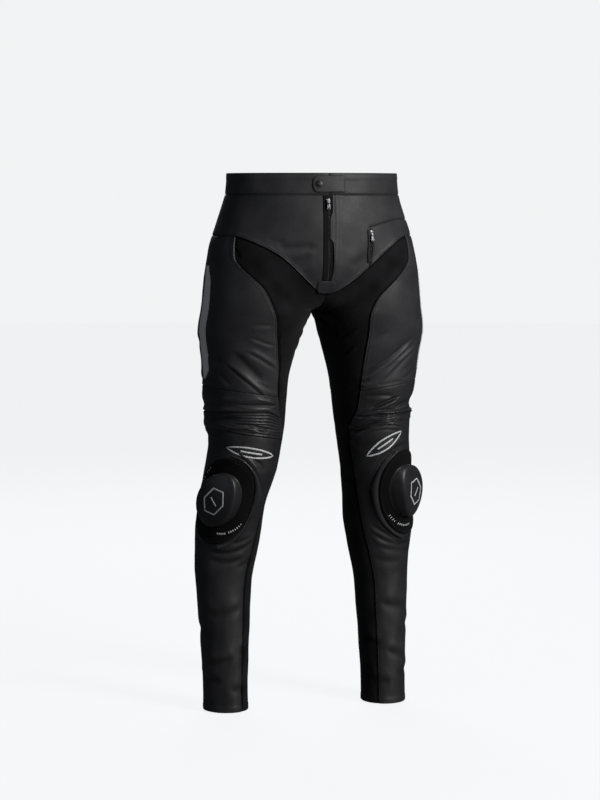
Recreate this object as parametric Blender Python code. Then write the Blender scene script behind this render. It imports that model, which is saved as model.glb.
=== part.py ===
"""Leather motorcycle trousers in the form they take when worn.

Metres, +Z up, origin at the middle of the waist, front toward -Y, wearer's left toward +X.
The cloth surface of each half is one function of two parameters: u runs once round from the inner
line (0) over the front (0.25), the outer side (0.5) and the back (0.75) to the inner line (1), and
z is the height. Above the crotch u = 0 and u = 1 are the centre front and the centre back.
Every panel is a group of cells of a grid on that surface, given its wall thickness.
"""
import bpy
import bmesh
import numpy as np
from math import cos, pi, radians, sin
from mathutils import Vector

# Cloth
LEATHER_WALL = 0.0020
STRETCH_WALL = 0.0014
STRETCH_SINK = 0.0006
SEAM_GAP = 0.0003
CENTRE_CLEAR = 0.00015
LAY_CLEAR = 0.0006

# Main heights
WAIST_TOP = 0.022
BAND_SEAM = -0.018
CROTCH = -0.235
THIGH_LEVEL = -0.300
KNEE_SEAM = -0.384
KNEE_SEAM_TILT = 0.012
KNEE_SEAM_SIDE = 0.004
RIB_END = -0.460
RIB_END_SIDE = 0.006
HEM = -1.000

# Sections of the legs: middle of the ring and its reach to the front, back and both sides
LEG_COLUMNS = (
    "z", "x", "y", "front", "back",
    "right_inner", "right_outer", "left_inner", "left_outer")
LEG_TABLE = (
    (0.060, 0.0900, 0.000, 0.108, 0.112, 0.0900, 0.0740, 0.0900, 0.0740),
    (-0.060, 0.0950, 0.000, 0.115, 0.120, 0.0950, 0.0860, 0.0950, 0.0860),
    (-0.120, 0.0980, 0.000, 0.118, 0.128, 0.0980, 0.0990, 0.0980, 0.0990),
    (-0.200, 0.1020, 0.002, 0.114, 0.125, 0.1020, 0.1060, 0.1020, 0.1060),
    (-0.222, 0.1030, 0.004, 0.112, 0.118, 0.1030, 0.1070, 0.1030, 0.1070),
    (-0.236, 0.1042, 0.006, 0.110, 0.113, 0.1022, 0.1080, 0.1024, 0.1082),
    (-0.260, 0.1090, 0.011, 0.106, 0.106, 0.0970, 0.1080, 0.0960, 0.1095),
    (-0.285, 0.1150, 0.014, 0.102, 0.101, 0.0940, 0.1010, 0.0938, 0.1035),
    (-0.312, 0.1205, 0.017, 0.098, 0.096, 0.0890, 0.0905, 0.0918, 0.0930),
    (-0.340, 0.1225, 0.020, 0.094, 0.091, 0.0830, 0.0855, 0.0862, 0.0866),
    (-0.369, 0.1240, 0.024, 0.092, 0.087, 0.0804, 0.0820, 0.0790, 0.0866),
    (-0.406, 0.1255, 0.026, 0.088, 0.082, 0.0790, 0.0792, 0.0772, 0.0775),
    (-0.444, 0.1258, 0.026, 0.084, 0.077, 0.0780, 0.0775, 0.0732, 0.0730),
    (-0.482, 0.1275, 0.027, 0.080, 0.073, 0.0738, 0.0645, 0.0690, 0.0705),
    (-0.539, 0.1340, 0.031, 0.080, 0.070, 0.0708, 0.0670, 0.0660, 0.0682),
    (-0.595, 0.1425, 0.043, 0.075, 0.070, 0.0608, 0.0660, 0.0678, 0.0655),
    (-0.652, 0.1480, 0.055, 0.066, 0.072, 0.0608, 0.0665, 0.0668, 0.0676),
    (-0.690, 0.1500, 0.060, 0.060, 0.070, 0.0588, 0.0630, 0.0600, 0.0636),
    (-0.728, 0.1540, 0.062, 0.056, 0.064, 0.0542, 0.0600, 0.0558, 0.0560),
    (-0.752, 0.1550, 0.062, 0.054, 0.061, 0.0508, 0.0573, 0.0512, 0.0540),
    (-0.850, 0.1570, 0.056, 0.050, 0.054, 0.0470, 0.0480, 0.0470, 0.0480),
    (-0.950, 0.1580, 0.050, 0.047, 0.047, 0.0430, 0.0430, 0.0430, 0.0430),
    (-1.060, 0.1580, 0.046, 0.047, 0.046, 0.0430, 0.0430, 0.0430, 0.0430),
)

# Sections of the seat and hips
HIP_COLUMNS = ("z", "half_width", "front", "back")
HIP_TABLE = (
    (0.060, 0.160, 0.112, 0.116),
    (-0.020, 0.166, 0.117, 0.120),
    (-0.060, 0.180, 0.121, 0.127),
    (-0.115, 0.198, 0.122, 0.135),
    (-0.160, 0.207, 0.120, 0.137),
    (-0.200, 0.212, 0.116, 0.130),
    (-0.235, 0.215, 0.108, 0.118),
    (-0.300, 0.216, 0.100, 0.105),
)
SECTION_SOFTEN = 0.010
RISE_TOP = -0.130
RISE_SQUARE = 2.6
SPLIT_TOP, SPLIT_END = -0.060, -0.270
SPLIT_REACH = 0.30

# Seams: the slanted edge of the front leather, the edge of the inner-leg stretch cloth
V_COLUMNS = ("u", "z")
V_TABLE = (
    (0.000, -0.201), (0.025, -0.197), (0.065, -0.186), (0.114, -0.170), (0.170, -0.145),
    (0.215, -0.127), (0.265, -0.110), (0.322, -0.098), (0.337, -0.094),
)
STRETCH_COLUMNS = ("z", "u")
STRETCH_TABLE = (
    (-0.094, 0.337), (-0.138, 0.336), (-0.152, 0.315), (-0.168, 0.287), (-0.186, 0.258),
    (-0.205, 0.232), (-0.222, 0.222), (-0.245, 0.221), (-0.272, 0.211), (-0.300, 0.198),
    (-0.334, 0.180), (-0.364, 0.166), (-0.392, 0.153), (-0.423, 0.143), (-0.460, 0.095),
    (-0.500, 0.085), (-0.554, 0.095), (-0.600, 0.110), (-0.650, 0.130), (-0.700, 0.150),
    (-0.760, 0.165), (-1.060, 0.165),
)
STRETCH_SOFTEN = 0.005
BACK_SEAM = 0.640

# Rows of the upper grid between the slanted seam and the thigh, at the inner and the outer end
ROW_COLUMNS = ("inner", "outer")
ROW_TABLE = (
    (-0.2010, -0.0940), (-0.2140, -0.1150), (-0.2240, -0.1360), (-0.2310, -0.1560),
    (-0.2346, -0.1760), (-0.2362, -0.1960), (-0.2430, -0.2170), (-0.2540, -0.2380),
    (-0.2670, -0.2590), (-0.2820, -0.2800), (-0.3000, -0.3000),
)
FRONT_STEPS, OUTER_STEPS, BACK_STEPS = 7, 10, 7
POCKET_STEP = 3
YOKE_ROWS, SIDE_FRONT_ROWS = 3, 4
YOKE_INNER, YOKE_OUTER = 0.443, 0.603
THIGH_ROWS = 4
BAND_ROWS = 2

# Lower grid
SHIN_STEPS, CALF_STEPS = 13, 7
RIBS = 8
RIB_HEIGHT = 0.0026
SHIN_ROWS = 16

# Largest folds: line from (u0, z0) to (u1, z1), side 1 left, -1 right, 0 both
FOLD_COLUMNS = ("side", "u0", "z0", "u1", "z1", "depth", "width")
FOLD_TABLE = (
    (-1, 0.345, -0.320, 0.190, -0.378, 0.0035, 0.014),
    (-1, 0.300, -0.292, 0.205, -0.322, 0.0030, 0.013),
    (1, 0.380, -0.288, 0.180, -0.352, 0.0035, 0.014),
    (1, 0.350, -0.318, 0.235, -0.368, 0.0030, 0.013),
    (0, 0.060, -0.262, 0.140, -0.285, 0.0025, 0.014),
    (-1, 0.420, -0.412, 0.600, -0.420, 0.0030, 0.013),
    (1, 0.400, -0.414, 0.560, -0.410, 0.0080, 0.011),
    (0, 0.700, -0.440, 0.930, -0.452, 0.0045, 0.016),
    (0, 0.680, -0.500, 0.900, -0.490, 0.0040, 0.016),
    (0, 0.720, -0.560, 0.900, -0.575, 0.0030, 0.016),
    (0, 0.700, -0.250, 0.900, -0.262, 0.0030, 0.016),
    (0, 0.240, -0.700, 0.420, -0.712, 0.0025, 0.014),
    (0, 0.620, -0.690, 0.800, -0.700, 0.0025, 0.016),
)
GIRTH = 0.48

# Knee slider, its base and the trim round the base
BASE_U, BASE_Z, BASE_HALF_U, BASE_HALF_Z = 0.360, -0.592, 0.150, 0.084
BASE_WALL = 0.0020
BASE_STEPS = 10
TRIM_START, TRIM_END = radians(98), radians(262)
TRIM_IN, TRIM_OUT, TRIM_BULGE = 1.03, 1.07, 0.17
TRIM_MIDDLE, TRIM_SPREAD = radians(174), radians(32)
TRIM_WALL = 0.0022
TRIM_STEPS, TRIM_ACROSS = 18, 2
PUCK_U, PUCK_Z, PUCK_HALF_U, PUCK_HALF_Z = 0.367, -0.588, 0.098, 0.052
PUCK_HEIGHT, PUCK_FACE_RADIUS, PUCK_EDGE = 0.017, 0.150, 0.004
PUCK_STEPS = 8
LEFT_KNEE_RISE = 0.006

# Pale stripe on the outer thigh
STRIPE_COLUMNS = ("z", "front", "back")
STRIPE_TABLE = (
    (-0.150, 0.470, 0.495), (-0.175, 0.452, 0.495), (-0.250, 0.450, 0.494),
    (-0.345, 0.446, 0.490), (-0.362, 0.474, 0.486),
)
STRIPE_WALL = 0.0010
STRIPE_STEPS = 14

# Fly, x to the wearer's left of the centre line
TAPE_LEFT, TAPE_RIGHT = 0.0058, -0.0125
TAPE_WALL = 0.0009
FLY_TOP, FLY_END = -0.0195, -0.1760
FLAP_COLUMNS = ("z", "edge")
FLAP_TABLE = (
    (-0.019, 0.0040), (-0.050, 0.0040), (-0.062, -0.0015), (-0.099, -0.0015),
    (-0.106, 0.0055), (-0.140, 0.0070), (-0.160, 0.0058), (-0.176, 0.0025),
)
FLAP_FAR = 0.0240
FLAP_WALL = 0.0016
FLAP_RAMP_START, FLAP_RAMP_END = 0.0062, 0.0105
FLY_ROWS = 18
PATCH_HALF, PATCH_MIDDLE = 0.0180, -0.0030
PATCH_TOP, PATCH_END = -0.1768, -0.1990
PATCH_WALL = 0.0016

# Waist closure
TAB_RIGHT, TAB_LEFT, TAB_LOW, TAB_HIGH = -0.032, 0.030, -0.014, 0.017
TAB_WALL = 0.0018
SNAP_X, SNAP_Z, SNAP_RADIUS, SNAP_HEIGHT = -0.020, 0.0015, 0.0068, 0.0022

# Pocket zip on the wearer's left
POCKET_U, POCKET_TOP, POCKET_END = 0.1444, -0.0830, -0.1440
POCKET_HALF = 0.0052
POCKET_WALL = 0.0012
POCKET_ROWS = 8

# Zip sliders and pull tabs
FLY_SLIDER_X, FLY_SLIDER_Z = -0.0034, -0.0300
POCKET_SLIDER_Z = -0.0888
SLIDER_HALF_WIDTH, SLIDER_HALF_LENGTH, SLIDER_DEPTH = 0.0040, 0.0056, 0.0022
EAR_MIDDLE, EAR_HALF, EAR_HALF_LENGTH, EAR_STEP = 0.0026, 0.0004, 0.0013, 0.00008
EAR_HEIGHT, HINGE_RISE = 0.0046, 0.0038
PULL_REACH = (-0.0011, 0.0030, 0.0095, 0.0140, 0.0165)
PULL_HALF = (0.0017, 0.0017, 0.0026, 0.0032, 0.0020)
PULL_DEPTH = 0.0012
PULL_LEAN = radians(4.0)


def column(table, names, name):
    return np.array(table, float)[:, names.index(name)]


def softened(table, names, name, z, reach):
    """One column of a table at the heights z, its corners rounded over the reach."""
    heights = column(table, names, "z")[::-1]
    values = column(table, names, name)[::-1]
    steps = np.linspace(-2.0, 2.0, 9)
    weights = np.exp(-steps * steps / 2)
    total = sum(w * np.interp(z + s * reach, heights, values) for s, w in zip(steps, weights))
    return total / weights.sum()


def eased(t):
    t = np.clip(t, 0.0, 1.0)
    return t * t * (3 - 2 * t)


def body(side, u, z):
    """Cloth surface without folds: hip ring and leg ring, blended over the rise."""
    u, z = np.broadcast_arrays(np.asarray(u, float), np.asarray(z, float))
    u = u % 1.0 + (u == 1.0)
    leg = {n: softened(LEG_TABLE, LEG_COLUMNS, n, z, SECTION_SOFTEN) for n in LEG_COLUMNS[1:]}
    hip = {n: softened(HIP_TABLE, HIP_COLUMNS, n, z, SECTION_SOFTEN) for n in HIP_COLUMNS[1:]}
    across, along = -np.cos(2 * pi * u), -np.sin(2 * pi * u)
    inner, outer = leg[word(side) + "_inner"], leg[word(side) + "_outer"]
    leg_x = leg["x"] + np.where(across < 0, inner, outer) * across
    leg_y = leg["y"] + np.where(along < 0, leg["front"], leg["back"]) * along
    hip_x = hip["half_width"] * np.sin(pi * u)
    hip_y = -np.cos(pi * u) * np.where(u < 0.5, hip["front"], hip["back"])
    rise = np.clip((RISE_TOP - z) / (RISE_TOP - CROTCH), 0.0, 1.0)
    near = 1 - (1 - rise**RISE_SQUARE) ** (1 / RISE_SQUARE)
    far = eased((SPLIT_TOP - z) / (SPLIT_TOP - SPLIT_END))
    edge = np.minimum(u, 1 - u)
    fall = 0.5 * (1 + np.cos(pi * np.clip(edge / SPLIT_REACH, 0.0, 1.0)))
    leg_share = far + (near - far) * fall
    x = (1 - leg_share) * hip_x + leg_share * leg_x
    y = (1 - leg_share) * hip_y + leg_share * leg_y
    return np.stack([side * x, y, z], axis=-1)


def outward(side, u, z):
    """Unit normals of the cloth surface, pointing out of the garment."""
    du, dz = 0.003, 0.0015
    low = np.where((np.asarray(u) > 0) & (np.asarray(u) < du), 0.0, np.asarray(u) - du)
    low = np.where(np.asarray(u) == 0, 0.0, low)
    high = np.where((np.asarray(u) < 1) & (np.asarray(u) > 1 - du), 1.0, np.asarray(u) + du)
    high = np.where(np.asarray(u) == 1, 1.0, high)
    round_the_leg = body(side, high, z) - body(side, low, z)
    down = body(side, u, z - dz) - body(side, u, z + dz)
    normal = np.cross(round_the_leg, down) * side
    return -normal / np.linalg.norm(normal, axis=-1, keepdims=True)


def fold(side, u, z):
    """Depth of the folds at (u, z): soft troughs that fade toward both ends."""
    u = np.asarray(u, float) % 1.0
    total = np.zeros(np.broadcast(u, z).shape)
    for of_side, u0, z0, u1, z1, depth, width in FOLD_TABLE:
        if of_side not in (0, side):
            continue
        run_u, run_z = (u1 - u0) * GIRTH, z1 - z0
        length = run_u * run_u + run_z * run_z
        off_u, off_z = (u - u0) * GIRTH, z - z0
        t = np.clip((off_u * run_u + off_z * run_z) / length, 0.0, 1.0)
        gap_u, gap_z = off_u - t * run_u, off_z - t * run_z
        fade = 0.45 + 0.55 * np.sin(pi * np.clip(t, 0.0, 1.0))
        total = total + depth * fade * np.exp(-(gap_u**2 + gap_z**2) / width**2)
    return total


def skin(side, u, z, out=0.0):
    """Points of the worn cloth, moved out by the given amount."""
    normal = outward(side, u, z)
    points = body(side, u, z) + normal * (out - fold(side, u, z))[..., None]
    points[..., 0] = side * np.maximum(side * points[..., 0], CENTRE_CLEAR)
    return points


def u_at(side, x, z):
    """The u on the front of one half where the surface is |x| from the centre plane."""
    low, high = np.zeros(np.broadcast(x, z).shape), np.full(np.broadcast(x, z).shape, 0.25)
    for _ in range(30):
        middle = (low + high) / 2
        under = np.abs(body(side, middle, z)[..., 0]) < np.abs(x)
        low, high = np.where(under, middle, low), np.where(under, high, middle)
    return (low + high) / 2


def centre_front(x, z, out):
    """Points of the front across the centre line; x runs toward the wearer's left."""
    x, z = np.broadcast_arrays(np.asarray(x, float), np.asarray(z, float))
    out = np.broadcast_to(out, x.shape)
    points = np.zeros(x.shape + (3,))
    for side in (-1, 1):
        u = u_at(side, x, z)
        reach = body(side, u, z) + outward(side, u, z) * out[..., None]
        points = np.where((side * x >= 0)[..., None], reach, points)
    points[..., 0] = x
    return points


def stretch_edge(z):
    return softened(STRETCH_TABLE, STRETCH_COLUMNS, "u", z, STRETCH_SOFTEN)


def v_height(t):
    corner = V_TABLE[-1][0]
    return np.interp(t * corner, column(V_TABLE, V_COLUMNS, "u"), column(V_TABLE, V_COLUMNS, "z"))


def knee_seam(side, u):
    return KNEE_SEAM + side * KNEE_SEAM_SIDE + KNEE_SEAM_TILT * np.cos(2 * pi * (u - 0.5))


def rib_end(side, u):
    return RIB_END + side * RIB_END_SIDE + KNEE_SEAM_TILT * np.cos(2 * pi * (u - 0.5))


def upper_rows():
    """Shares of the height from the band seam to the slanted seam, at the inner and outer ends."""
    inner, outer = [], []
    for k in range(YOKE_ROWS + SIDE_FRONT_ROWS):
        if k < YOKE_ROWS:
            share_in, share_out = YOKE_INNER * k / YOKE_ROWS, YOKE_OUTER * k / YOKE_ROWS
        else:
            rest = (k - YOKE_ROWS) / SIDE_FRONT_ROWS
            share_in = YOKE_INNER + (1 - YOKE_INNER) * rest
            share_out = YOKE_OUTER + (1 - YOKE_OUTER) * rest
        inner.append(share_in)
        outer.append(share_out)
    return np.array(inner), np.array(outer)


def upper_grid(side):
    """u and z of the grid from the band seam to the knee seam, columns round the half."""
    front_t = np.linspace(0.0, 1.0, FRONT_STEPS + 1)
    v_line = v_height(front_t)
    v_share = (v_line - v_line[0]) / (v_line[-1] - v_line[0])
    back_t = np.linspace(0.0, 1.0, BACK_STEPS + 1)[1:]
    back_share = 1 - eased(back_t)
    share_in, share_out = upper_rows()
    rows_u, rows_z = [], []
    pocket_t = POCKET_STEP / FRONT_STEPS
    for low, high in zip(share_in, share_out):
        beyond = np.clip((front_t - pocket_t) / (1 - pocket_t), 0.0, 1.0)
        share = low + (high - low) * beyond
        front_z = BAND_SEAM + (v_line - BAND_SEAM) * share
        outer_z, centre_back = front_z[-1], BAND_SEAM + (v_line[0] - BAND_SEAM) * low
        rows_z.append(np.concatenate([
            front_z, np.full(OUTER_STEPS, outer_z),
            centre_back + (outer_z - centre_back) * back_share]))
        rows_u.append(ring_columns(V_TABLE[-1][0], front_t, back_t))
    for inner, outer in ROW_TABLE:
        rows_z.append(np.concatenate([
            inner + (outer - inner) * v_share, np.full(OUTER_STEPS, outer),
            inner + (outer - inner) * back_share]))
        rows_u.append(ring_columns(float(stretch_edge(outer)), front_t, back_t))
    for k in range(1, THIGH_ROWS + 1):
        share = k / THIGH_ROWS
        middle = THIGH_LEVEL + (KNEE_SEAM - THIGH_LEVEL) * share
        u = ring_columns(float(stretch_edge(middle)), front_t, back_t)
        rows_u.append(u)
        rows_z.append(THIGH_LEVEL + (knee_seam(side, u) - THIGH_LEVEL) * share)
    return np.array(rows_u), np.array(rows_z)


def ring_columns(edge, front_t, back_t):
    outer_t = np.linspace(0.0, 1.0, OUTER_STEPS + 1)[1:]
    return np.concatenate([
        edge * front_t, edge + (BACK_SEAM - edge) * outer_t,
        BACK_SEAM + (1 - BACK_SEAM) * back_t])


def band_grid():
    front_t = np.linspace(0.0, 1.0, FRONT_STEPS + 1)
    back_t = np.linspace(0.0, 1.0, BACK_STEPS + 1)[1:]
    u = ring_columns(V_TABLE[-1][0], front_t, back_t)
    z = np.linspace(WAIST_TOP, BAND_SEAM, BAND_ROWS + 1)
    return np.meshgrid(u, z)


def seam_edge(side, top, bottom, share, edge):
    """The u of a side seam at each share of the way down from the top seam to the bottom seam."""
    u = edge(top(side, 0.5) + (bottom(side, 0.5) - top(side, 0.5)) * share)
    for _ in range(8):
        u = edge(top(side, u) + (bottom(side, u) - top(side, u)) * share)
    return u


def lower_strip(side, top, bottom, rows, start, end, steps):
    """Grid between two ring seams; start and end give the u of its side edges at a height."""
    share = np.linspace(0.0, 1.0, rows + 1)[:, None]
    across = np.linspace(0.0, 1.0, steps + 1)[None, :]
    first = seam_edge(side, top, bottom, share, start)
    last = seam_edge(side, top, bottom, share, end)
    u = first + (last - first) * across
    z_top, z_bottom = top(side, u), bottom(side, u)
    return u, z_top + (z_bottom - z_top) * share


def hem_line(side, u):
    return np.full(np.shape(u), HEM)


def back_edge(z):
    return np.full(np.shape(z), BACK_SEAM)


def inner_edge_round(z):
    return 1.0 + stretch_edge(z)


def drawn_in(points, cells):
    """Moves the edge points of a group of cells inward by half the seam gap."""
    rows, cols = cells.shape
    padded = np.zeros((rows + 2, cols + 2), bool)
    padded[1:-1, 1:-1] = cells
    moved = points.copy()
    for i in range(rows + 1):
        for j in range(cols + 1):
            around = padded[i:i + 2, j:j + 2]
            if not around.any() or around.all():
                continue
            step_i = int(np.sign(int(around[1].sum()) - int(around[0].sum())))
            step_j = int(np.sign(int(around[:, 1].sum()) - int(around[:, 0].sum())))
            for di, dj in ((step_i, 0), (0, step_j)):
                if di or dj:
                    along = points[i + di, j + dj] - points[i, j]
                    moved[i, j] += along / np.linalg.norm(along) * SEAM_GAP / 2
    return moved


def closed_mesh(name, outer, inner, cells):
    """One closed body between an outer and an inner sheet over the chosen cells."""
    mesh = bmesh.new()
    rows, cols = cells.shape
    made = {}

    def vertex(layer, i, j):
        if (layer, i, j) not in made:
            source = outer if layer else inner
            made[layer, i, j] = mesh.verts.new(source[i, j])
        return made[layer, i, j]

    for i in range(rows):
        for j in range(cols):
            if not cells[i, j]:
                continue
            ring = ((i, j), (i + 1, j), (i + 1, j + 1), (i, j + 1))
            mesh.faces.new([vertex(1, *c) for c in ring])
            mesh.faces.new([vertex(0, *c) for c in reversed(ring)])
            beside = ((i, j - 1), (i + 1, j), (i, j + 1), (i - 1, j))
            for k, (bi, bj) in enumerate(beside):
                inside = 0 <= bi < rows and 0 <= bj < cols and cells[bi, bj]
                if not inside:
                    a, b = ring[k], ring[(k + 1) % 4]
                    mesh.faces.new([vertex(1, *b), vertex(1, *a), vertex(0, *a), vertex(0, *b)])
    return finished(name, mesh)


def finished(name, mesh):
    bmesh.ops.triangulate(mesh, faces=mesh.faces[:])
    bmesh.ops.recalc_face_normals(mesh, faces=mesh.faces[:])
    data = bpy.data.meshes.new(name)
    mesh.to_mesh(data)
    mesh.free()
    part = bpy.data.objects.new(name, data)
    bpy.context.scene.collection.objects.link(part)
    return part


def cloth_panel(name, side, u, z, cells, wall=LEATHER_WALL, sink=0.0, raised=0.0):
    """A sewn panel: outer sheet on the surface, inner sheet one wall further in."""
    outer = skin(side, u, z, raised - sink)
    inner = skin(side, u, z, -sink - wall)
    return closed_mesh(name, drawn_in(outer, cells), drawn_in(inner, cells), cells)


def laid_piece(name, low, high):
    return closed_mesh(name, high, low, np.ones((low.shape[0] - 1, low.shape[1] - 1), bool))


def word(side):
    return "left" if side > 0 else "right"


def upper_panels(side):
    u, z = upper_grid(side)
    shape = (u.shape[0] - 1, u.shape[1] - 1)
    row, col = np.indices(shape)
    v_row = YOKE_ROWS + SIDE_FRONT_ROWS
    back_col = FRONT_STEPS + OUTER_STEPS
    above_v, before_back = row < v_row, col < back_col
    outside_pocket = above_v & before_back & (col >= POCKET_STEP) & (row >= YOKE_ROWS)
    side_front = outside_pocket & (side > 0)
    front = above_v & before_back & ~side_front
    inner_thigh = ~above_v & (col < FRONT_STEPS)
    thigh = ~above_v & (col >= FRONT_STEPS) & before_back
    seat = ~before_back
    name = word(side)
    leather(cloth_panel(name + "_front_panel", side, u, z, front))
    if side_front.any():
        leather(cloth_panel(name + "_side_front_panel", side, u, z, side_front))
    leather(cloth_panel(name + "_thigh_panel", side, u, z, thigh))
    leather(cloth_panel(name + "_seat_panel", side, u, z, seat))
    stretch(cloth_panel(name + "_inner_thigh_panel", side, u, z, inner_thigh,
                        wall=STRETCH_WALL, sink=STRETCH_SINK))


def waistband(side):
    u, z = band_grid()
    cells = np.ones((u.shape[0] - 1, u.shape[1] - 1), bool)
    leather(cloth_panel(word(side) + "_waistband", side, u, z, cells))


def rib_profile(rows, cols):
    """Rib crests on every second row, fading out toward the side seams."""
    crest = (np.arange(rows + 1) % 2)[:, None] * np.ones((1, cols + 1))
    across = np.linspace(0.0, 1.0, cols + 1)
    ends = eased(np.minimum(across, 1 - across) / 0.16)[None, :]
    return RIB_HEIGHT * crest * ends


def knee_accordion(side):
    rows = 2 * RIBS
    u, z = lower_strip(side, knee_seam, rib_end, rows, stretch_edge, back_edge, SHIN_STEPS)
    cells = np.ones((rows, SHIN_STEPS), bool)
    leather(cloth_panel(word(side) + "_knee_accordion", side, u, z, cells,
                        raised=rib_profile(rows, SHIN_STEPS)))


def shin_panel(side):
    u, z = lower_strip(side, rib_end, hem_line, SHIN_ROWS, stretch_edge, back_edge, SHIN_STEPS)
    cells = np.ones((SHIN_ROWS, SHIN_STEPS), bool)
    leather(cloth_panel(word(side) + "_shin_panel", side, u, z, cells))


def calf_panel(side):
    """One piece from the back seam round the inner leg, its rows level with its neighbours'."""
    knee = lower_strip(side, knee_seam, rib_end, 2 * RIBS, back_edge, inner_edge_round,
                       CALF_STEPS)
    shin = lower_strip(side, rib_end, hem_line, SHIN_ROWS, back_edge, inner_edge_round,
                       CALF_STEPS)
    u, z = (np.concatenate([above, below[1:]]) for above, below in zip(knee, shin))
    cells = np.ones((2 * RIBS + SHIN_ROWS, CALF_STEPS), bool)
    stretch(cloth_panel(word(side) + "_calf_panel", side, u, z, cells,
                        wall=STRETCH_WALL, sink=STRETCH_SINK))


def disc_grid(steps):
    """Points of a unit disc on a square grid."""
    a = np.linspace(-1.0, 1.0, steps + 1)
    a, b = np.meshgrid(a, a[::-1])
    return a * np.sqrt(1 - b * b / 2), b * np.sqrt(1 - a * a / 2)


def knee_rise(side):
    return LEFT_KNEE_RISE if side > 0 else 0.0


def slider_base(side):
    x, y = disc_grid(BASE_STEPS)
    u, z = BASE_U + BASE_HALF_U * x, BASE_Z + knee_rise(side) + BASE_HALF_Z * y
    low = skin(side, u, z, LAY_CLEAR)
    high = skin(side, u, z, LAY_CLEAR + BASE_WALL)
    hook_and_loop(laid_piece(word(side) + "_slider_base", low, high))


def slider_trim(side):
    turn = np.linspace(TRIM_START, TRIM_END, TRIM_STEPS + 1)[:, None]
    share = np.linspace(0.0, 1.0, TRIM_ACROSS + 1)[None, :]
    bulge = np.exp(-((turn - TRIM_MIDDLE) / TRIM_SPREAD) ** 2)
    reach = TRIM_IN + (TRIM_OUT - TRIM_IN + TRIM_BULGE * bulge) * share
    u = BASE_U + BASE_HALF_U * reach * np.cos(turn)
    z = BASE_Z + knee_rise(side) + BASE_HALF_Z * reach * np.sin(turn)
    low = skin(side, u, z, LAY_CLEAR)
    high = skin(side, u, z, LAY_CLEAR + TRIM_WALL)
    leather(laid_piece(word(side) + "_slider_trim", low, high))


def knee_slider(side):
    """Thick puck: back face on the base, nearly flat face, rounded rim."""
    x, y = disc_grid(PUCK_STEPS)
    centre_z = PUCK_Z + knee_rise(side)
    u, z = PUCK_U + PUCK_HALF_U * x, centre_z + PUCK_HALF_Z * y
    low = skin(side, u, z, LAY_CLEAR * 2 + BASE_WALL)
    middle = body(side, PUCK_U, centre_z)
    axis = outward(side, np.array(PUCK_U), np.array(centre_z))
    across = np.cross(axis, (0.0, 0.0, 1.0))
    across = across / np.linalg.norm(across)
    upright = np.cross(across, axis)
    offset = low - middle
    a, b, height = offset @ across, offset @ upright, offset @ axis
    radius = np.sqrt(np.clip(x * x + y * y, 0.0, 1.0))
    rim = PUCK_EDGE * np.clip((radius - 0.70) / 0.30, 0.0, 1.0) ** 2
    face = PUCK_HEIGHT + LAY_CLEAR * 2 + BASE_WALL - (a * a + b * b) / (2 * PUCK_FACE_RADIUS) - rim
    high = low + axis * (face - height)[..., None]
    hard_plastic(laid_piece(word(side) + "_knee_slider", low, high))


def side_stripe(side):
    z = np.linspace(STRIPE_TABLE[0][0], STRIPE_TABLE[-1][0], STRIPE_STEPS + 1)
    heights = column(STRIPE_TABLE, STRIPE_COLUMNS, "z")[::-1]
    front = np.interp(z, heights, column(STRIPE_TABLE, STRIPE_COLUMNS, "front")[::-1])
    back = np.interp(z, heights, column(STRIPE_TABLE, STRIPE_COLUMNS, "back")[::-1])
    share = np.linspace(0.0, 1.0, 3)
    u = front[:, None] + (back - front)[:, None] * share[None, :]
    z = np.repeat(z[:, None], 3, axis=1)
    low = skin(side, u, z, LAY_CLEAR)
    high = skin(side, u, z, LAY_CLEAR + STRIPE_WALL)
    pale(laid_piece(word(side) + "_side_stripe", low, high))


def fly_tape():
    z = np.linspace(FLY_TOP, FLY_END, FLY_ROWS + 1)[:, None]
    x = np.linspace(TAPE_RIGHT, TAPE_LEFT, 5)[None, :]
    low = centre_front(x, z, LAY_CLEAR)
    high = centre_front(x, z, LAY_CLEAR + TAPE_WALL)
    zip_cloth(laid_piece("fly_zip_tape", low, high))


def fly_flap():
    """The flap rides over the tape near its free edge and lies on the panel beyond it."""
    z = np.linspace(FLY_TOP, FLY_END, FLY_ROWS * 2 + 1)[:, None]
    heights = column(FLAP_TABLE, FLAP_COLUMNS, "z")[::-1]
    edge = np.interp(z, heights, column(FLAP_TABLE, FLAP_COLUMNS, "edge")[::-1])
    share = np.linspace(0.0, 1.0, 6)[None, :]
    x = edge + (FLAP_FAR - edge) * share
    over = 1 - eased((x - FLAP_RAMP_START) / (FLAP_RAMP_END - FLAP_RAMP_START))
    lift = LAY_CLEAR + (TAPE_WALL + SEAM_GAP + 0.0002) * over
    low = centre_front(x, z, lift)
    high = centre_front(x, z, lift + FLAP_WALL)
    leather(laid_piece("fly_flap", low, high))


def fly_patch():
    share = np.linspace(0.0, 1.0, 5)[:, None]
    z = PATCH_TOP + (PATCH_END - PATCH_TOP) * share
    widen = 1.0 - 0.35 * (1 - eased(share / 0.4)) - 0.25 * eased((share - 0.6) / 0.4)
    x = PATCH_MIDDLE + PATCH_HALF * widen * np.linspace(-1.0, 1.0, 7)[None, :]
    low = centre_front(x, z, LAY_CLEAR)
    high = centre_front(x, z, LAY_CLEAR + PATCH_WALL)
    leather(laid_piece("fly_end_patch", low, high))


def waist_tab():
    z = np.linspace(TAB_HIGH, TAB_LOW, 4)[:, None]
    x = np.linspace(TAB_RIGHT, TAB_LEFT, 9)[None, :]
    low = centre_front(x, z, LAY_CLEAR)
    high = centre_front(x, z, LAY_CLEAR + TAB_WALL)
    leather(laid_piece("waist_tab", low, high))


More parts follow.
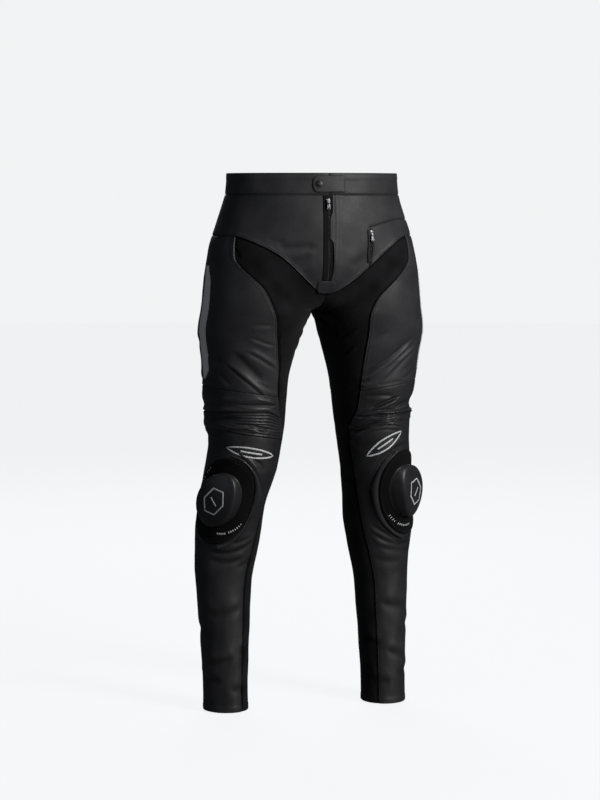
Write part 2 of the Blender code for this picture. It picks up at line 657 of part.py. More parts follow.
def waist_snap():
    a, b = disc_grid(6)
    x, z = SNAP_X + SNAP_RADIUS * a, SNAP_Z + SNAP_RADIUS * b
    dome = SNAP_HEIGHT * np.sqrt(np.clip(1 - 0.80 * (a * a + b * b), 0.0, 1.0))
    under = LAY_CLEAR + TAB_WALL + SEAM_GAP
    low = centre_front(x, z, under)
    high = centre_front(x, z, under + dome)
    dark_metal(laid_piece("waist_snap", low, high))


def pocket_zip():
    z = np.linspace(POCKET_TOP, POCKET_END, POCKET_ROWS + 1)[:, None]
    u = POCKET_U + np.linspace(-1.0, 1.0, 3)[None, :] * POCKET_HALF / GIRTH
    low = skin(1, u, z, LAY_CLEAR)
    high = skin(1, u, z, LAY_CLEAR + POCKET_WALL)
    zip_cloth(laid_piece("pocket_zip_tape", low, high))


def local_axes(side, u, z):
    """Middle on the surface, direction across, direction up along the cloth, direction out."""
    u, z = np.array(float(u)), np.array(float(z))
    out = outward(side, u, z)
    across = np.cross((0.0, 0.0, 1.0), out)
    across = across / np.linalg.norm(across)
    return body(side, u, z), across, np.cross(out, across), out


def zip_slider(name, side, u, z, under):
    """Slider body on the tape with two ears that hold the pull tab between them."""
    middle, across, up, out = local_axes(side, u, z)
    ear_in, ear_out = EAR_MIDDLE - EAR_HALF, EAR_MIDDLE + EAR_HALF
    half = np.array([ear_in - EAR_STEP, ear_in, ear_out, ear_out + EAR_STEP, SLIDER_HALF_WIDTH])
    x = np.concatenate([-half[::-1], half])[None, :]
    half = np.array([EAR_HALF_LENGTH, EAR_HALF_LENGTH + EAR_STEP, SLIDER_HALF_LENGTH])
    y = np.concatenate([half[::-1], -half])[:, None]
    ear = (np.abs(np.abs(x) - EAR_MIDDLE) < EAR_HALF + EAR_STEP / 2)
    ear = ear & (np.abs(y) < EAR_HALF_LENGTH + EAR_STEP / 2)
    height = np.where(ear, EAR_HEIGHT, SLIDER_DEPTH)
    flat = middle + x[..., None] * across + y[..., None] * up
    low = flat + out * (under + SEAM_GAP)
    high = low + out * height[..., None]
    dark_metal(laid_piece(name, low, high))


def pull_hinge(side, u, z, under):
    """Hinge point of a pull tab between the ears of its slider, and the axes there."""
    middle, across, up, out = local_axes(side, u, z)
    return middle + out * (under + SEAM_GAP + HINGE_RISE), across, out


def zip_pull(name, side, u, z, under):
    """Flat tab that hangs from its hinge, a little in front of the upright."""
    hinge, across, out = pull_hinge(side, u, z, under)
    ahead = np.cross(across, (0.0, 0.0, 1.0))
    ahead = ahead if np.dot(ahead, out) > 0 else -ahead
    upright = np.array((0.0, 0.0, 1.0))
    down = ahead * sin(PULL_LEAN) - upright * cos(PULL_LEAN)
    face = ahead * cos(PULL_LEAN) + upright * sin(PULL_LEAN)
    mesh = bmesh.new()
    rows = []
    for reach, half in zip(PULL_REACH, PULL_HALF):
        ring = []
        for a, c in ((-1, -1), (1, -1), (1, 1), (-1, 1)):
            point = across * (a * half) + down * reach + face * (c * PULL_DEPTH / 2)
            ring.append(mesh.verts.new(point))
        rows.append(ring)
    for top, low in zip(rows, rows[1:]):
        for k in range(4):
            mesh.faces.new([top[k], top[(k + 1) % 4], low[(k + 1) % 4], low[k]])
    mesh.faces.new(rows[0])
    mesh.faces.new(rows[-1][::-1])
    tab = finished(name, mesh)
    tab.location = Vector(hinge)
    dark_metal(tab)


def zip_hardware():
    fly_u = float(u_at(-1, np.array(abs(FLY_SLIDER_X)), np.array(FLY_SLIDER_Z)))
    on_tape = LAY_CLEAR + TAPE_WALL
    zip_slider("fly_zip_slider", -1, fly_u, FLY_SLIDER_Z, on_tape)
    zip_pull("fly_zip_pull", -1, fly_u, FLY_SLIDER_Z, on_tape)
    on_pocket = LAY_CLEAR + POCKET_WALL
    zip_slider("pocket_zip_slider", 1, POCKET_U, POCKET_SLIDER_Z, on_pocket)
    zip_pull("pocket_zip_pull", 1, POCKET_U, POCKET_SLIDER_Z, on_pocket)


def material(name, colour, roughness, metallic=0.0):
    made = bpy.data.materials.get(name)
    if made is None:
        made = bpy.data.materials.new(name)
        made.use_nodes = True
        shader = made.node_tree.nodes["Principled BSDF"]
        shader.inputs["Base Color"].default_value = (*colour, 1.0)
        shader.inputs["Roughness"].default_value = roughness
        shader.inputs["Metallic"].default_value = metallic
    return made


def leather(part):
    part.data.materials.append(material("black_leather", (0.022, 0.022, 0.025), 0.42))


def stretch(part):
    part.data.materials.append(material("stretch_cloth", (0.012, 0.012, 0.014), 0.90))


def hook_and_loop(part):
    part.data.materials.append(material("hook_and_loop", (0.008, 0.008, 0.009), 0.95))


def hard_plastic(part):
    part.data.materials.append(material("slider_plastic", (0.026, 0.026, 0.030), 0.38))


def pale(part):
    part.data.materials.append(material("pale_leather", (0.62, 0.63, 0.65), 0.45))


def zip_cloth(part):
    part.data.materials.append(material("zip_tape", (0.010, 0.010, 0.011), 0.85))


def dark_metal(part):
    part.data.materials.append(material("zip_metal", (0.10, 0.10, 0.11), 0.35, 0.9))


def clear_scene():
    for thing in list(bpy.data.objects):
        bpy.data.objects.remove(thing, do_unlink=True)


def build():
    clear_scene()
    for side in (1, -1):
        waistband(side)
        upper_panels(side)
        knee_accordion(side)
        shin_panel(side)
        calf_panel(side)
        side_stripe(side)
        slider_base(side)
        slider_trim(side)
        knee_slider(side)
    fly_tape()
    fly_flap()
    fly_patch()
    waist_tab()
    waist_snap()
    pocket_zip()
    zip_hardware()


build()
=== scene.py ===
"""Looks of the leather motorcycle trousers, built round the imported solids.

Metres, +Z up, origin at the middle of the waist, front toward -Y, wearer's left toward +X. The cloth
surface of each half is a function of two parameters: u runs once round from the inner line (0) over the
front (0.25), the outer side (0.5) and the back (0.75) to the inner line (1), and z is the height.
"""
from math import cos, exp, pi, radians, sin

import bpy
import numpy as np
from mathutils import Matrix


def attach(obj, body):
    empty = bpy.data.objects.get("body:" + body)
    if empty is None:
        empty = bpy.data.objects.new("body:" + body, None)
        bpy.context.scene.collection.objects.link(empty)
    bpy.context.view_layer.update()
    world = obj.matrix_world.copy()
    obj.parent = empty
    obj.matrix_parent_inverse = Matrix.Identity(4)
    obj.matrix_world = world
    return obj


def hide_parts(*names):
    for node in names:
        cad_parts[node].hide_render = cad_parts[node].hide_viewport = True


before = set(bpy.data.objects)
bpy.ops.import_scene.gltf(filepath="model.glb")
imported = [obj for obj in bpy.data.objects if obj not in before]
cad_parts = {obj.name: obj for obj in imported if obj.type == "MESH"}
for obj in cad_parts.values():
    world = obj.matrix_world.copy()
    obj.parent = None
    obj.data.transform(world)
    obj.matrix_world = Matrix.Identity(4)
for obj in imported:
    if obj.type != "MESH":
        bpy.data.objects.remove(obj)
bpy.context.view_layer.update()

# Cloth
LEATHER_WALL, STRETCH_WALL, STRETCH_SINK = 0.0020, 0.0014, 0.0006
SEAM_GAP, CENTRE_CLEAR, LAY_CLEAR = 0.0001, 0.00005, 0.0006

# Mesh grids: steps, and the lengths they share out
GRID_STEP, BACK_STEP, SHIN_STEP, CALF_STEP = 0.0022, 0.0030, 0.0026, 0.0036
RIB_ROW, RIB_COLUMN, BAND_ROW, KNEE_ROW = 0.0009, 0.0028, 0.0025, 0.0026
NEAR_SEAM = (0.0, 0.0004, 0.0010, 0.0018, 0.0027, 0.0040)
POCKET_LENGTH, STRETCH_LENGTH = 0.070, 0.085
FRONT_LENGTH, OUTER_LENGTH, BACK_LENGTH = 0.155, 0.150, 0.170
YOKE_LENGTH, UNDER_YOKE_LENGTH, THIGH_LENGTH = 0.065, 0.075, 0.290
KNEE_LENGTH, LEG_LENGTH = 0.076, 0.540
ACCORDION_AROUND, SHIN_AROUND, CALF_AROUND = 0.250, 0.215, 0.190

# Main heights
WAIST_TOP, BAND_SEAM, CROTCH, THIGH_LEVEL = 0.022, -0.018, -0.235, -0.300
KNEE_SEAM, KNEE_SEAM_TILT, KNEE_SEAM_SIDE = -0.384, 0.012, 0.004
RIB_END, RIB_END_SIDE, HEM = -0.460, 0.006, -1.000

# Sections of the legs: middle of the ring and its reach to the front, back and both sides
LEG_COLUMNS = (
    "z", "x", "y", "front", "back", "right_inner", "right_outer", "left_inner", "left_outer")
LEG_TABLE = (
    (0.060, 0.0900, 0.000, 0.108, 0.112, 0.0900, 0.0740, 0.0900, 0.0740),
    (-0.060, 0.0950, 0.000, 0.115, 0.120, 0.0950, 0.0860, 0.0950, 0.0860),
    (-0.120, 0.0980, 0.000, 0.118, 0.128, 0.0980, 0.0990, 0.0980, 0.0990),
    (-0.200, 0.1020, 0.002, 0.114, 0.125, 0.1020, 0.1060, 0.1020, 0.1060),
    (-0.222, 0.1030, 0.004, 0.112, 0.118, 0.1030, 0.1070, 0.1030, 0.1070),
    (-0.236, 0.1042, 0.006, 0.110, 0.113, 0.1022, 0.1080, 0.1024, 0.1082),
    (-0.260, 0.1090, 0.011, 0.106, 0.106, 0.0970, 0.1080, 0.0960, 0.1095),
    (-0.285, 0.1150, 0.014, 0.102, 0.101, 0.0940, 0.1010, 0.0938, 0.1035),
    (-0.312, 0.1205, 0.017, 0.098, 0.096, 0.0890, 0.0905, 0.0918, 0.0930),
    (-0.340, 0.1225, 0.020, 0.094, 0.091, 0.0830, 0.0855, 0.0862, 0.0866),
    (-0.369, 0.1240, 0.024, 0.092, 0.087, 0.0804, 0.0820, 0.0790, 0.0866),
    (-0.406, 0.1255, 0.026, 0.088, 0.082, 0.0790, 0.0792, 0.0772, 0.0775),
    (-0.444, 0.1258, 0.026, 0.084, 0.077, 0.0780, 0.0775, 0.0732, 0.0730),
    (-0.482, 0.1275, 0.027, 0.080, 0.073, 0.0738, 0.0645, 0.0690, 0.0705),
    (-0.539, 0.1340, 0.031, 0.080, 0.070, 0.0708, 0.0670, 0.0660, 0.0682),
    (-0.595, 0.1425, 0.043, 0.075, 0.070, 0.0608, 0.0660, 0.0678, 0.0655),
    (-0.652, 0.1480, 0.055, 0.066, 0.072, 0.0608, 0.0665, 0.0668, 0.0676),
    (-0.690, 0.1500, 0.060, 0.060, 0.070, 0.0588, 0.0630, 0.0600, 0.0636),
    (-0.728, 0.1540, 0.062, 0.056, 0.064, 0.0542, 0.0600, 0.0558, 0.0560),
    (-0.752, 0.1550, 0.062, 0.054, 0.061, 0.0508, 0.0573, 0.0512, 0.0540),
    (-0.850, 0.1570, 0.056, 0.050, 0.054, 0.0470, 0.0480, 0.0470, 0.0480),
    (-0.950, 0.1580, 0.050, 0.047, 0.047, 0.0430, 0.0430, 0.0430, 0.0430),
    (-1.060, 0.1580, 0.046, 0.047, 0.046, 0.0430, 0.0430, 0.0430, 0.0430),
)

# Sections of the seat and hips
HIP_COLUMNS = ("z", "half_width", "front", "back")
HIP_TABLE = (
    (0.060, 0.160, 0.112, 0.116),
    (-0.020, 0.166, 0.117, 0.120),
    (-0.060, 0.180, 0.121, 0.127),
    (-0.115, 0.198, 0.122, 0.135),
    (-0.160, 0.207, 0.120, 0.137),
    (-0.200, 0.212, 0.116, 0.130),
    (-0.235, 0.215, 0.108, 0.118),
    (-0.300, 0.216, 0.100, 0.105),
)
SECTION_SOFTEN = 0.010
RISE_TOP, RISE_SQUARE, RISE_SOFTEN = -0.130, 2.6, 0.007
SPLIT_TOP, SPLIT_END, SPLIT_REACH = -0.060, -0.270, 0.30

# Seams: the slanted edge of the front leather, the edge of the inner-leg stretch cloth
V_COLUMNS = ("u", "right", "left")
V_TABLE = (
    (0.000, -0.2010, -0.2010), (0.025, -0.1962, -0.1972), (0.050, -0.1868, -0.1905),
    (0.080, -0.1695, -0.1795), (0.114, -0.1505, -0.1645), (0.150, -0.1353, -0.1485),
    (0.190, -0.1222, -0.1330), (0.230, -0.1115, -0.1150), (0.270, -0.1030, -0.1030),
    (0.310, -0.0968, -0.0968), (0.337, -0.0940, -0.0940),
)
STRETCH_COLUMNS = ("z", "right", "left")
STRETCH_TABLE = (
    (-0.094, 0.337, 0.337), (-0.138, 0.336, 0.336), (-0.152, 0.315, 0.315), (-0.168, 0.287, 0.287),
    (-0.186, 0.258, 0.256), (-0.205, 0.245, 0.224), (-0.222, 0.239, 0.214), (-0.245, 0.232, 0.215),
    (-0.272, 0.219, 0.207), (-0.300, 0.198, 0.191), (-0.334, 0.171, 0.175), (-0.364, 0.161, 0.161),
    (-0.392, 0.153, 0.153), (-0.423, 0.143, 0.143), (-0.460, 0.095, 0.095), (-0.500, 0.085, 0.085),
    (-0.554, 0.095, 0.095), (-0.600, 0.110, 0.110), (-0.650, 0.130, 0.130), (-0.700, 0.150, 0.150),
    (-0.760, 0.165, 0.165), (-1.060, 0.165, 0.165),
)
STRETCH_SOFTEN = 0.005
BACK_SEAM = 0.640

# Gap beside the right thigh panel, sunk and painted nearly black as shade by the stretch finish: its top,
# width, waver and depth
GAP_TOP, GAP_WIDTH, GAP_WAVER, GAP_DEPTH = -0.262, 0.0088, 0.002, 0.003

# Rows between the slanted seam and the thigh, at the inner and the outer end
ROW_TABLE = (
    (-0.2010, -0.0940), (-0.2140, -0.1150), (-0.2240, -0.1360), (-0.2310, -0.1560),
    (-0.2346, -0.1760), (-0.2362, -0.1960), (-0.2430, -0.2170), (-0.2540, -0.2380),
    (-0.2670, -0.2590), (-0.2820, -0.2800), (-0.3000, -0.3000),
)
THIGH_ROWS = 4
POCKET_SHARE = 3 / 7
YOKE_INNER, YOKE_OUTER = 0.443, 0.603
GIRTH = 0.48

# Largest folds, as in the solids: line from (u0, z0) to (u1, z1), side 1 left, -1 right, 0 both
FOLD_TABLE = (
    (-1, 0.345, -0.320, 0.190, -0.378, 0.0035, 0.014),
    (-1, 0.300, -0.292, 0.205, -0.322, 0.0030, 0.013),
    (1, 0.380, -0.288, 0.180, -0.352, 0.0035, 0.014),
    (1, 0.350, -0.318, 0.235, -0.368, 0.0030, 0.013),
    (0, 0.060, -0.262, 0.140, -0.285, 0.0025, 0.014),
    (-1, 0.420, -0.412, 0.600, -0.420, 0.0030, 0.013),
    (1, 0.400, -0.414, 0.560, -0.410, 0.0080, 0.011),
    (0, 0.700, -0.440, 0.930, -0.452, 0.0045, 0.016),
    (0, 0.680, -0.500, 0.900, -0.490, 0.0040, 0.016),
    (0, 0.720, -0.560, 0.900, -0.575, 0.0030, 0.016),
    (0, 0.700, -0.250, 0.900, -0.262, 0.0030, 0.016),
    (0, 0.240, -0.700, 0.420, -0.712, 0.0025, 0.014),
    (0, 0.620, -0.690, 0.800, -0.700, 0.0025, 0.016),
)

# Finer creases: bend pushes the middle of the line aside, lift is the share of the ridge beside it
CREASE_TABLE = (
    # right thigh, running in and down to the corner above the knee
    (-1, 0.375, -0.328, 0.200, -0.401, 0.001, 0.0023, 0.0027, -0.8),
    (-1, 0.350, -0.305, 0.225, -0.368, 0.001, 0.0024, 0.0066, 0.2),
    (-1, 0.260, -0.364, 0.178, -0.385, 0.000, 0.0014, 0.0022, 0.6),
    (-1, 0.305, -0.306, 0.180, -0.343, 0.000, 0.0022, 0.0030, -0.7),
    (-1, 0.298, -0.279, 0.205, -0.298, 0.002, 0.0016, 0.0026, 0.6),
    (-1, 0.300, -0.257, 0.235, -0.259, 0.000, 0.0009, 0.0034, 0.7),
    (-1, 0.250, -0.392, 0.160, -0.402, 0.000, 0.0012, 0.0024, 0.5),
    (-1, 0.460, -0.312, 0.380, -0.332, -0.002, 0.0012, 0.0060, 0.4),
    (-1, 0.400, -0.348, 0.345, -0.372, 0.000, 0.0012, 0.0040, 0.4),
    (-1, 0.470, -0.352, 0.400, -0.372, 0.000, 0.0012, 0.0050, 0.4),
    # left thigh, rising outward from the corner above the knee
    (1, 0.128, -0.368, 0.370, -0.280, -0.006, 0.0034, 0.0029, -0.9),
    (1, 0.285, -0.331, 0.358, -0.302, 0.000, 0.0013, 0.0022, -0.6),
    (1, 0.235, -0.374, 0.400, -0.303, 0.003, 0.0032, 0.0028, 0.9),
    (1, 0.320, -0.366, 0.420, -0.336, -0.001, 0.0016, 0.0034, 0.5),
    (1, 0.186, -0.299, 0.265, -0.271, 0.000, 0.0009, 0.0042, -0.8),
    (1, 0.157, -0.373, 0.192, -0.366, 0.000, 0.0022, 0.0026, -0.9),
    (1, 0.205, -0.378, 0.330, -0.368, 0.001, 0.0010, 0.0030, -0.5),
    # hips and crotch
    (-1, 0.178, -0.116, 0.035, -0.113, 0.000, 0.0019, 0.0066, 0.6),
    (-1, 0.215, -0.100, 0.140, -0.106, 0.000, 0.0010, 0.0060, 0.4),
    (-1, 0.140, -0.145, 0.050, -0.127, 0.002, 0.0014, 0.0080, 0.5),
    (-1, 0.330, -0.116, 0.318, -0.140, 0.000, 0.0020, 0.0040, 0.4),
    (1, 0.060, -0.150, 0.140, -0.128, -0.002, 0.0009, 0.0090, 0.4),
    (0, 0.008, -0.237, 0.080, -0.264, -0.002, 0.0020, 0.0060, 0.4),
    (0, 0.012, -0.228, 0.085, -0.236, -0.003, 0.0014, 0.0060, 0.4),
    (0, 0.985, -0.238, 0.905, -0.280, 0.003, 0.0022, 0.0080, 0.4),
    (0, 0.960, -0.215, 0.860, -0.232, 0.003, 0.0016, 0.0090, 0.4),
    # inner thighs
    (1, 0.095, -0.293, 0.172, -0.266, 0.001, 0.0012, 0.0028, -0.7),
    (1, 0.100, -0.321, 0.152, -0.298, 0.000, 0.0011, 0.0028, -0.7),
    (1, 0.093, -0.256, 0.091, -0.290, 0.002, 0.0009, 0.0032, 0.6),
    (-1, 0.985, -0.262, 0.088, -0.275, 0.000, 0.0012, 0.0050, 0.5),
    (-1, 0.020, -0.285, 0.088, -0.294, 0.001, 0.0012, 0.0045, 0.5),
    (-1, 0.015, -0.308, 0.090, -0.318, 0.001, 0.0010, 0.0050, 0.5),
    # above the right knee
    (-1, 0.330, -0.407, 0.150, -0.411, 0.000, 0.0018, 0.0024, 0.5),
    (-1, 0.560, -0.425, 0.330, -0.424, 0.002, 0.0020, 0.0030, 0.4),
    (-1, 0.372, -0.449, 0.160, -0.463, -0.009, 0.0026, 0.0026, 0.7),
    (-1, 0.300, -0.446, 0.168, -0.467, -0.001, 0.0016, 0.0017, 0.8),
    (-1, 0.580, -0.437, 0.270, -0.435, 0.000, 0.0036, 0.0062, 0.3),
    (-1, 0.480, -0.468, 0.330, -0.452, 0.004, 0.0014, 0.0032, 0.5),
    (-1, 0.270, -0.501, 0.200, -0.524, 0.000, 0.0018, 0.0030, 0.8),
    # above the left knee
    (1, 0.184, -0.422, 0.316, -0.397, 0.000, 0.0042, 0.0025, -0.9),
    (1, 0.430, -0.402, 0.282, -0.421, -0.001, 0.0042, 0.0036, 0.3),
    (1, 0.120, -0.437, 0.235, -0.434, 0.000, 0.0024, 0.0019, -0.6),
    (1, 0.085, -0.472, 0.236, -0.441, 0.000, 0.0038, 0.0042, -0.4),
    (1, 0.180, -0.460, 0.350, -0.461, 0.0085, 0.0018, 0.0021, 0.6),
    (1, 0.175, -0.467, 0.355, -0.469, 0.0080, 0.0014, 0.0021, 0.6),
    (1, 0.170, -0.397, 0.290, -0.396, 0.001, 0.0012, 0.0034, -0.6),
    (1, 0.062, -0.474, 0.120, -0.458, 0.000, 0.0016, 0.0026, 0.6),
    (1, 0.312, -0.493, 0.208, -0.540, 0.000, 0.0021, 0.0026, 0.8),
    (1, 0.302, -0.484, 0.248, -0.512, 0.000, 0.0013, 0.0024, 0.6),
    # round the knees
    (-1, 0.250, -0.512, 0.178, -0.538, -0.003, 0.0014, 0.0050, 0.6),
    (-1, 0.420, -0.486, 0.300, -0.494, 0.003, 0.0010, 0.0070, 0.5),
    (-1, 0.110, -0.520, 0.160, -0.500, 0.000, 0.0010, 0.0060, 0.4),
    (1, 0.172, -0.548, 0.400, -0.488, 0.014, 0.0018, 0.0050, 0.6),
    (1, 0.200, -0.532, 0.330, -0.492, 0.008, 0.0012, 0.0045, 0.5),
    (1, 0.130, -0.500, 0.250, -0.482, 0.004, 0.0010, 0.0060, 0.4),
    (1, 0.020, -0.560, 0.118, -0.566, 0.002, 0.0012, 0.0070, 0.4),
    # below the sliders
    (-1, 0.400, -0.687, 0.130, -0.662, 0.017, 0.0024, 0.0048, -0.7),
    (-1, 0.385, -0.706, 0.180, -0.700, 0.009, 0.0020, 0.0055, -0.6),
    (-1, 0.285, -0.675, 0.160, -0.660, 0.003, 0.0016, 0.0040, -0.6),
    (-1, 0.490, -0.660, 0.415, -0.680, 0.002, 0.0014, 0.0050, -0.5),
    (-1, 0.240, -0.722, 0.120, -0.704, 0.003, 0.0012, 0.0065, -0.5),
    (1, 0.160, -0.643, 0.345, -0.687, -0.004, 0.0020, 0.0042, -0.7),
    (1, 0.162, -0.660, 0.430, -0.687, -0.014, 0.0026, 0.0048, -0.7),
    (1, 0.195, -0.690, 0.450, -0.702, -0.004, 0.0018, 0.0055, -0.6),
    (1, 0.170, -0.714, 0.330, -0.724, -0.003, 0.0010, 0.0070, -0.5),
    # lower shins and ankles
    (0, 0.180, -0.800, 0.420, -0.812, -0.005, 0.0018, 0.0090, 0.5),
    (0, 0.380, -0.850, 0.620, -0.838, -0.004, 0.0020, 0.0090, 0.5),
    (0, 0.220, -0.895, 0.440, -0.908, -0.004, 0.0020, 0.0080, 0.5),
    (0, 0.060, -0.872, 0.200, -0.884, -0.003, 0.0016, 0.0080, 0.5),
    (0, 0.300, -0.940, 0.560, -0.930, -0.005, 0.0018, 0.0075, 0.5),
    (0, 0.100, -0.950, 0.260, -0.958, -0.003, 0.0014, 0.0075, 0.5),
    # seat, backs of the thighs, behind the knees, calves
    (0, 0.660, -0.238, 0.930, -0.292, -0.010, 0.0030, 0.0100, 0.5),
    (0, 0.680, -0.286, 0.870, -0.318, -0.006, 0.0020, 0.0080, 0.5),
    (0, 0.655, -0.340, 0.800, -0.356, -0.003, 0.0016, 0.0075, 0.5),
    (0, 0.760, -0.140, 0.900, -0.168, -0.004, 0.0012, 0.0110, 0.4),
    (0, 0.660, -0.408, 0.900, -0.418, -0.004, 0.0026, 0.0055, 0.6),
    (0, 0.650, -0.432, 0.960, -0.440, -0.004, 0.0030, 0.0055, 0.6),
    (0, 0.670, -0.458, 0.940, -0.462, -0.003, 0.0026, 0.0050, 0.6),
    (0, 0.650, -0.482, 0.920, -0.476, 0.004, 0.0026, 0.0050, 0.6),
    (0, 0.690, -0.512, 0.950, -0.504, 0.004, 0.0020, 0.0060, 0.5),
    (0, 0.700, -0.545, 0.880, -0.552, 0.004, 0.0016, 0.0070, 0.5),
    (0, 0.720, -0.640, 0.900, -0.652, 0.005, 0.0014, 0.0090, 0.4),
    (0, 0.690, -0.770, 0.880, -0.782, -0.004, 0.0016, 0.0090, 0.4),
    (0, 0.740, -0.868, 0.930, -0.876, -0.004, 0.0018, 0.0080, 0.5),
    (0, 0.680, -0.920, 0.860, -0.932, -0.004, 0.0016, 0.0080, 0.5),
    # outer sides
    (0, 0.470, -0.282, 0.610, -0.300, -0.003, 0.0016, 0.0080, 0.4),
    (0, 0.500, -0.366, 0.630, -0.356, -0.003, 0.0016, 0.0060, 0.5),
    (0, 0.520, -0.402, 0.640, -0.410, 0.002, 0.0020, 0.0050, 0.5),
    (0, 0.500, -0.470, 0.630, -0.478, 0.002, 0.0018, 0.0055, 0.5),
    (0, 0.560, -0.640, 0.640, -0.668, 0.002, 0.0014, 0.0070, 0.4),
)

# Ribs above the knee
RIBS, RIB_HEIGHT, RIB_TOP = 8, 0.0026, -0.4225

# Knee slider, its base and the trim round the base
BASE_U, BASE_Z, BASE_HALF_U, BASE_HALF_Z, BASE_WALL = 0.360, -0.592, 0.150, 0.084, 0.0020
TRIM_IN, TRIM_WALL = 1.03, 0.0022
TRIM_COLUMNS = ("turn", "right", "left")
TRIM_TABLE = (
    (98, 1.070, 1.090), (120, 1.070, 1.090), (133, 1.080, 1.096), (145, 1.110, 1.125), (155, 1.160, 1.158),
    (163, 1.215, 1.200), (170, 1.290, 1.234), (176, 1.310, 1.232), (182, 1.240, 1.222), (189, 1.115, 1.208),
    (199, 1.078, 1.190), (216, 1.098, 1.160), (231, 1.120, 1.122), (246, 1.136, 1.108), (262, 1.130, 1.110),
)
PUCK_U, PUCK_Z, PUCK_HALF_U, PUCK_HALF_Z = 0.367, -0.588, 0.098, 0.052
PUCK_HEIGHT, PUCK_FACE_RADIUS = 0.017, 0.150
PUCK_LEAN = {"right": 0.04, "left": 0.20}
LEFT_KNEE_RISE = 0.006
PUCK_COLUMNS = ("radius", "height")
PUCK_PROFILE = (
    (1.000, 0.00), (1.000, 0.14), (0.990, 0.17), (0.990, 0.20), (0.998, 0.23), (0.994, 0.45),
    (0.988, 0.70), (0.979, 0.84), (0.962, 0.92), (0.935, 0.965), (0.900, 0.988), (0.860, 0.997),
    (0.800, 1.0), (0.700, 1.0), (0.580, 1.0), (0.440, 1.0), (0.300, 1.0), (0.150, 1.0), (0.060, 1.0),
)

# Printed bars on the base: rows from angle to angle in degrees, reach to reach, number and
# the one left out
TICK_TABLE = {"right": ((-146, -99, 0.93, 0.74, 13, 7), (54, 24, 0.91, 0.92, 7, 3)),
              "left": ((-144, -84, 0.86, 0.76, 13, 4), (56, 30, 0.91, 0.92, 6, 3))}

# Pale stripe on the outer thigh
STRIPE_COLUMNS = ("z", "front", "back")
STRIPE_TABLE = (
    (-0.150, 0.470, 0.495), (-0.175, 0.452, 0.495), (-0.250, 0.450, 0.494),
    (-0.345, 0.446, 0.490), (-0.362, 0.474, 0.486),
)
STRIPE_WALL = 0.0010

# Fly, x to the wearer's left of the centre line
TAPE_LEFT, TAPE_RIGHT, TAPE_WALL = 0.0058, -0.0125, 0.0009
FLY_TOP, FLY_END = -0.0195, -0.1760
FLAP_COLUMNS = ("z", "edge")
FLAP_TABLE = (
    (-0.019, 0.0040), (-0.050, 0.0040), (-0.062, -0.0015), (-0.099, -0.0015),
    (-0.106, 0.0055), (-0.140, 0.0070), (-0.160, 0.0058), (-0.176, 0.0025),
)
FLAP_FAR, FLAP_WALL = 0.0240, 0.0016
FLAP_RAMP_START, FLAP_RAMP_END = 0.0062, 0.0105
PATCH_HALF, PATCH_MIDDLE, PATCH_TOP, PATCH_END, PATCH_WALL = 0.0180, -0.0030, -0.1768, -0.1990, 0.0016
TEETH_X, TOOTH_PITCH = -0.0030, 0.00125

# Waist closure
TAB_RIGHT, TAB_LEFT, TAB_LOW, TAB_HIGH, TAB_WALL = -0.032, 0.030, -0.014, 0.017, 0.0018
SNAP_X, SNAP_Z, SNAP_RADIUS, SNAP_HEIGHT = -0.020, 0.0015, 0.0068, 0.0022

# Pocket zip on the wearer's left
POCKET_U, POCKET_TOP, POCKET_END = 0.1444, -0.0830, -0.1440
POCKET_HALF, POCKET_WALL = 0.0052, 0.0012

# Zip sliders and pull tabs
FLY_SLIDER_X, FLY_SLIDER_Z, POCKET_SLIDER_Z = -0.0034, -0.0300, -0.0888
SLIDER_HALF_WIDTH, SLIDER_HALF_LENGTH, SLIDER_DEPTH = 0.0040, 0.0056, 0.0022
HINGE_RISE, PULL_LEAN = 0.0038, radians(4.0)

# Shares of a piece's width close to an edge that is rolled over
ROLLED_ENDS = (0.0, 0.02, 0.05, 0.10)

# Topstitching
STITCH_PITCH, STITCH_LENGTH, STITCH_HALF = 0.0030, 0.0024, 0.00028
LAP_THREAD, SEAM_THREAD, SIDE_THREAD, HEM_THREAD = 0.0031, 0.0026, 0.0028, 0.0100
STRIPE_THREAD, PATCH_THREAD, TAB_THREAD = 0.0020, 0.0022, 0.0024
ALL_EDGES = ("top", "left", "right", "bottom")

# Camera: focal length and frame height in pixels, place, and turns in degrees
FOCAL, FRAME_HEIGHT = 2381.0, 800.0
CAMERA_PLACE, CAMERA_DOWN, CAMERA_ASIDE = (-1.2404, -4.3257, -0.02), 4.905, -15.712

# Lamps: name, azimuth, elevation, distance, size, power, colour
LAMP_TABLE = (
    ("key", 35.0, 22.0, 4.3, (1.3, 1.9), 128.0, (1.0, 0.99, 0.98)),
    ("fill", -62.0, 12.0, 3.6, (1.6, 2.2), 4.0, (0.90, 0.94, 1.0)),
    ("back", 170.0, 34.0, 3.6, (2.2, 1.6), 48.0, (0.95, 0.97, 1.0)),
)
LAMP_AIM = (0.0, 0.0, -0.40)


def word(side):
    return "left" if side > 0 else "right"


def column(table, names, name):
    return np.array(table, float)[:, names.index(name)]


def softened(table, names, name, z, reach):
    """One column of a table at the heights z, its corners rounded by a bell-shaped mean."""
    heights = column(table, names, "z")[::-1]
    values = column(table, names, name)[::-1]
    steps = np.linspace(-2.0, 2.0, 9)
    weights = np.exp(-steps * steps / 2)
    total = sum(w * np.interp(z + s * reach, heights, values) for s, w in zip(steps, weights))
    return total / weights.sum()


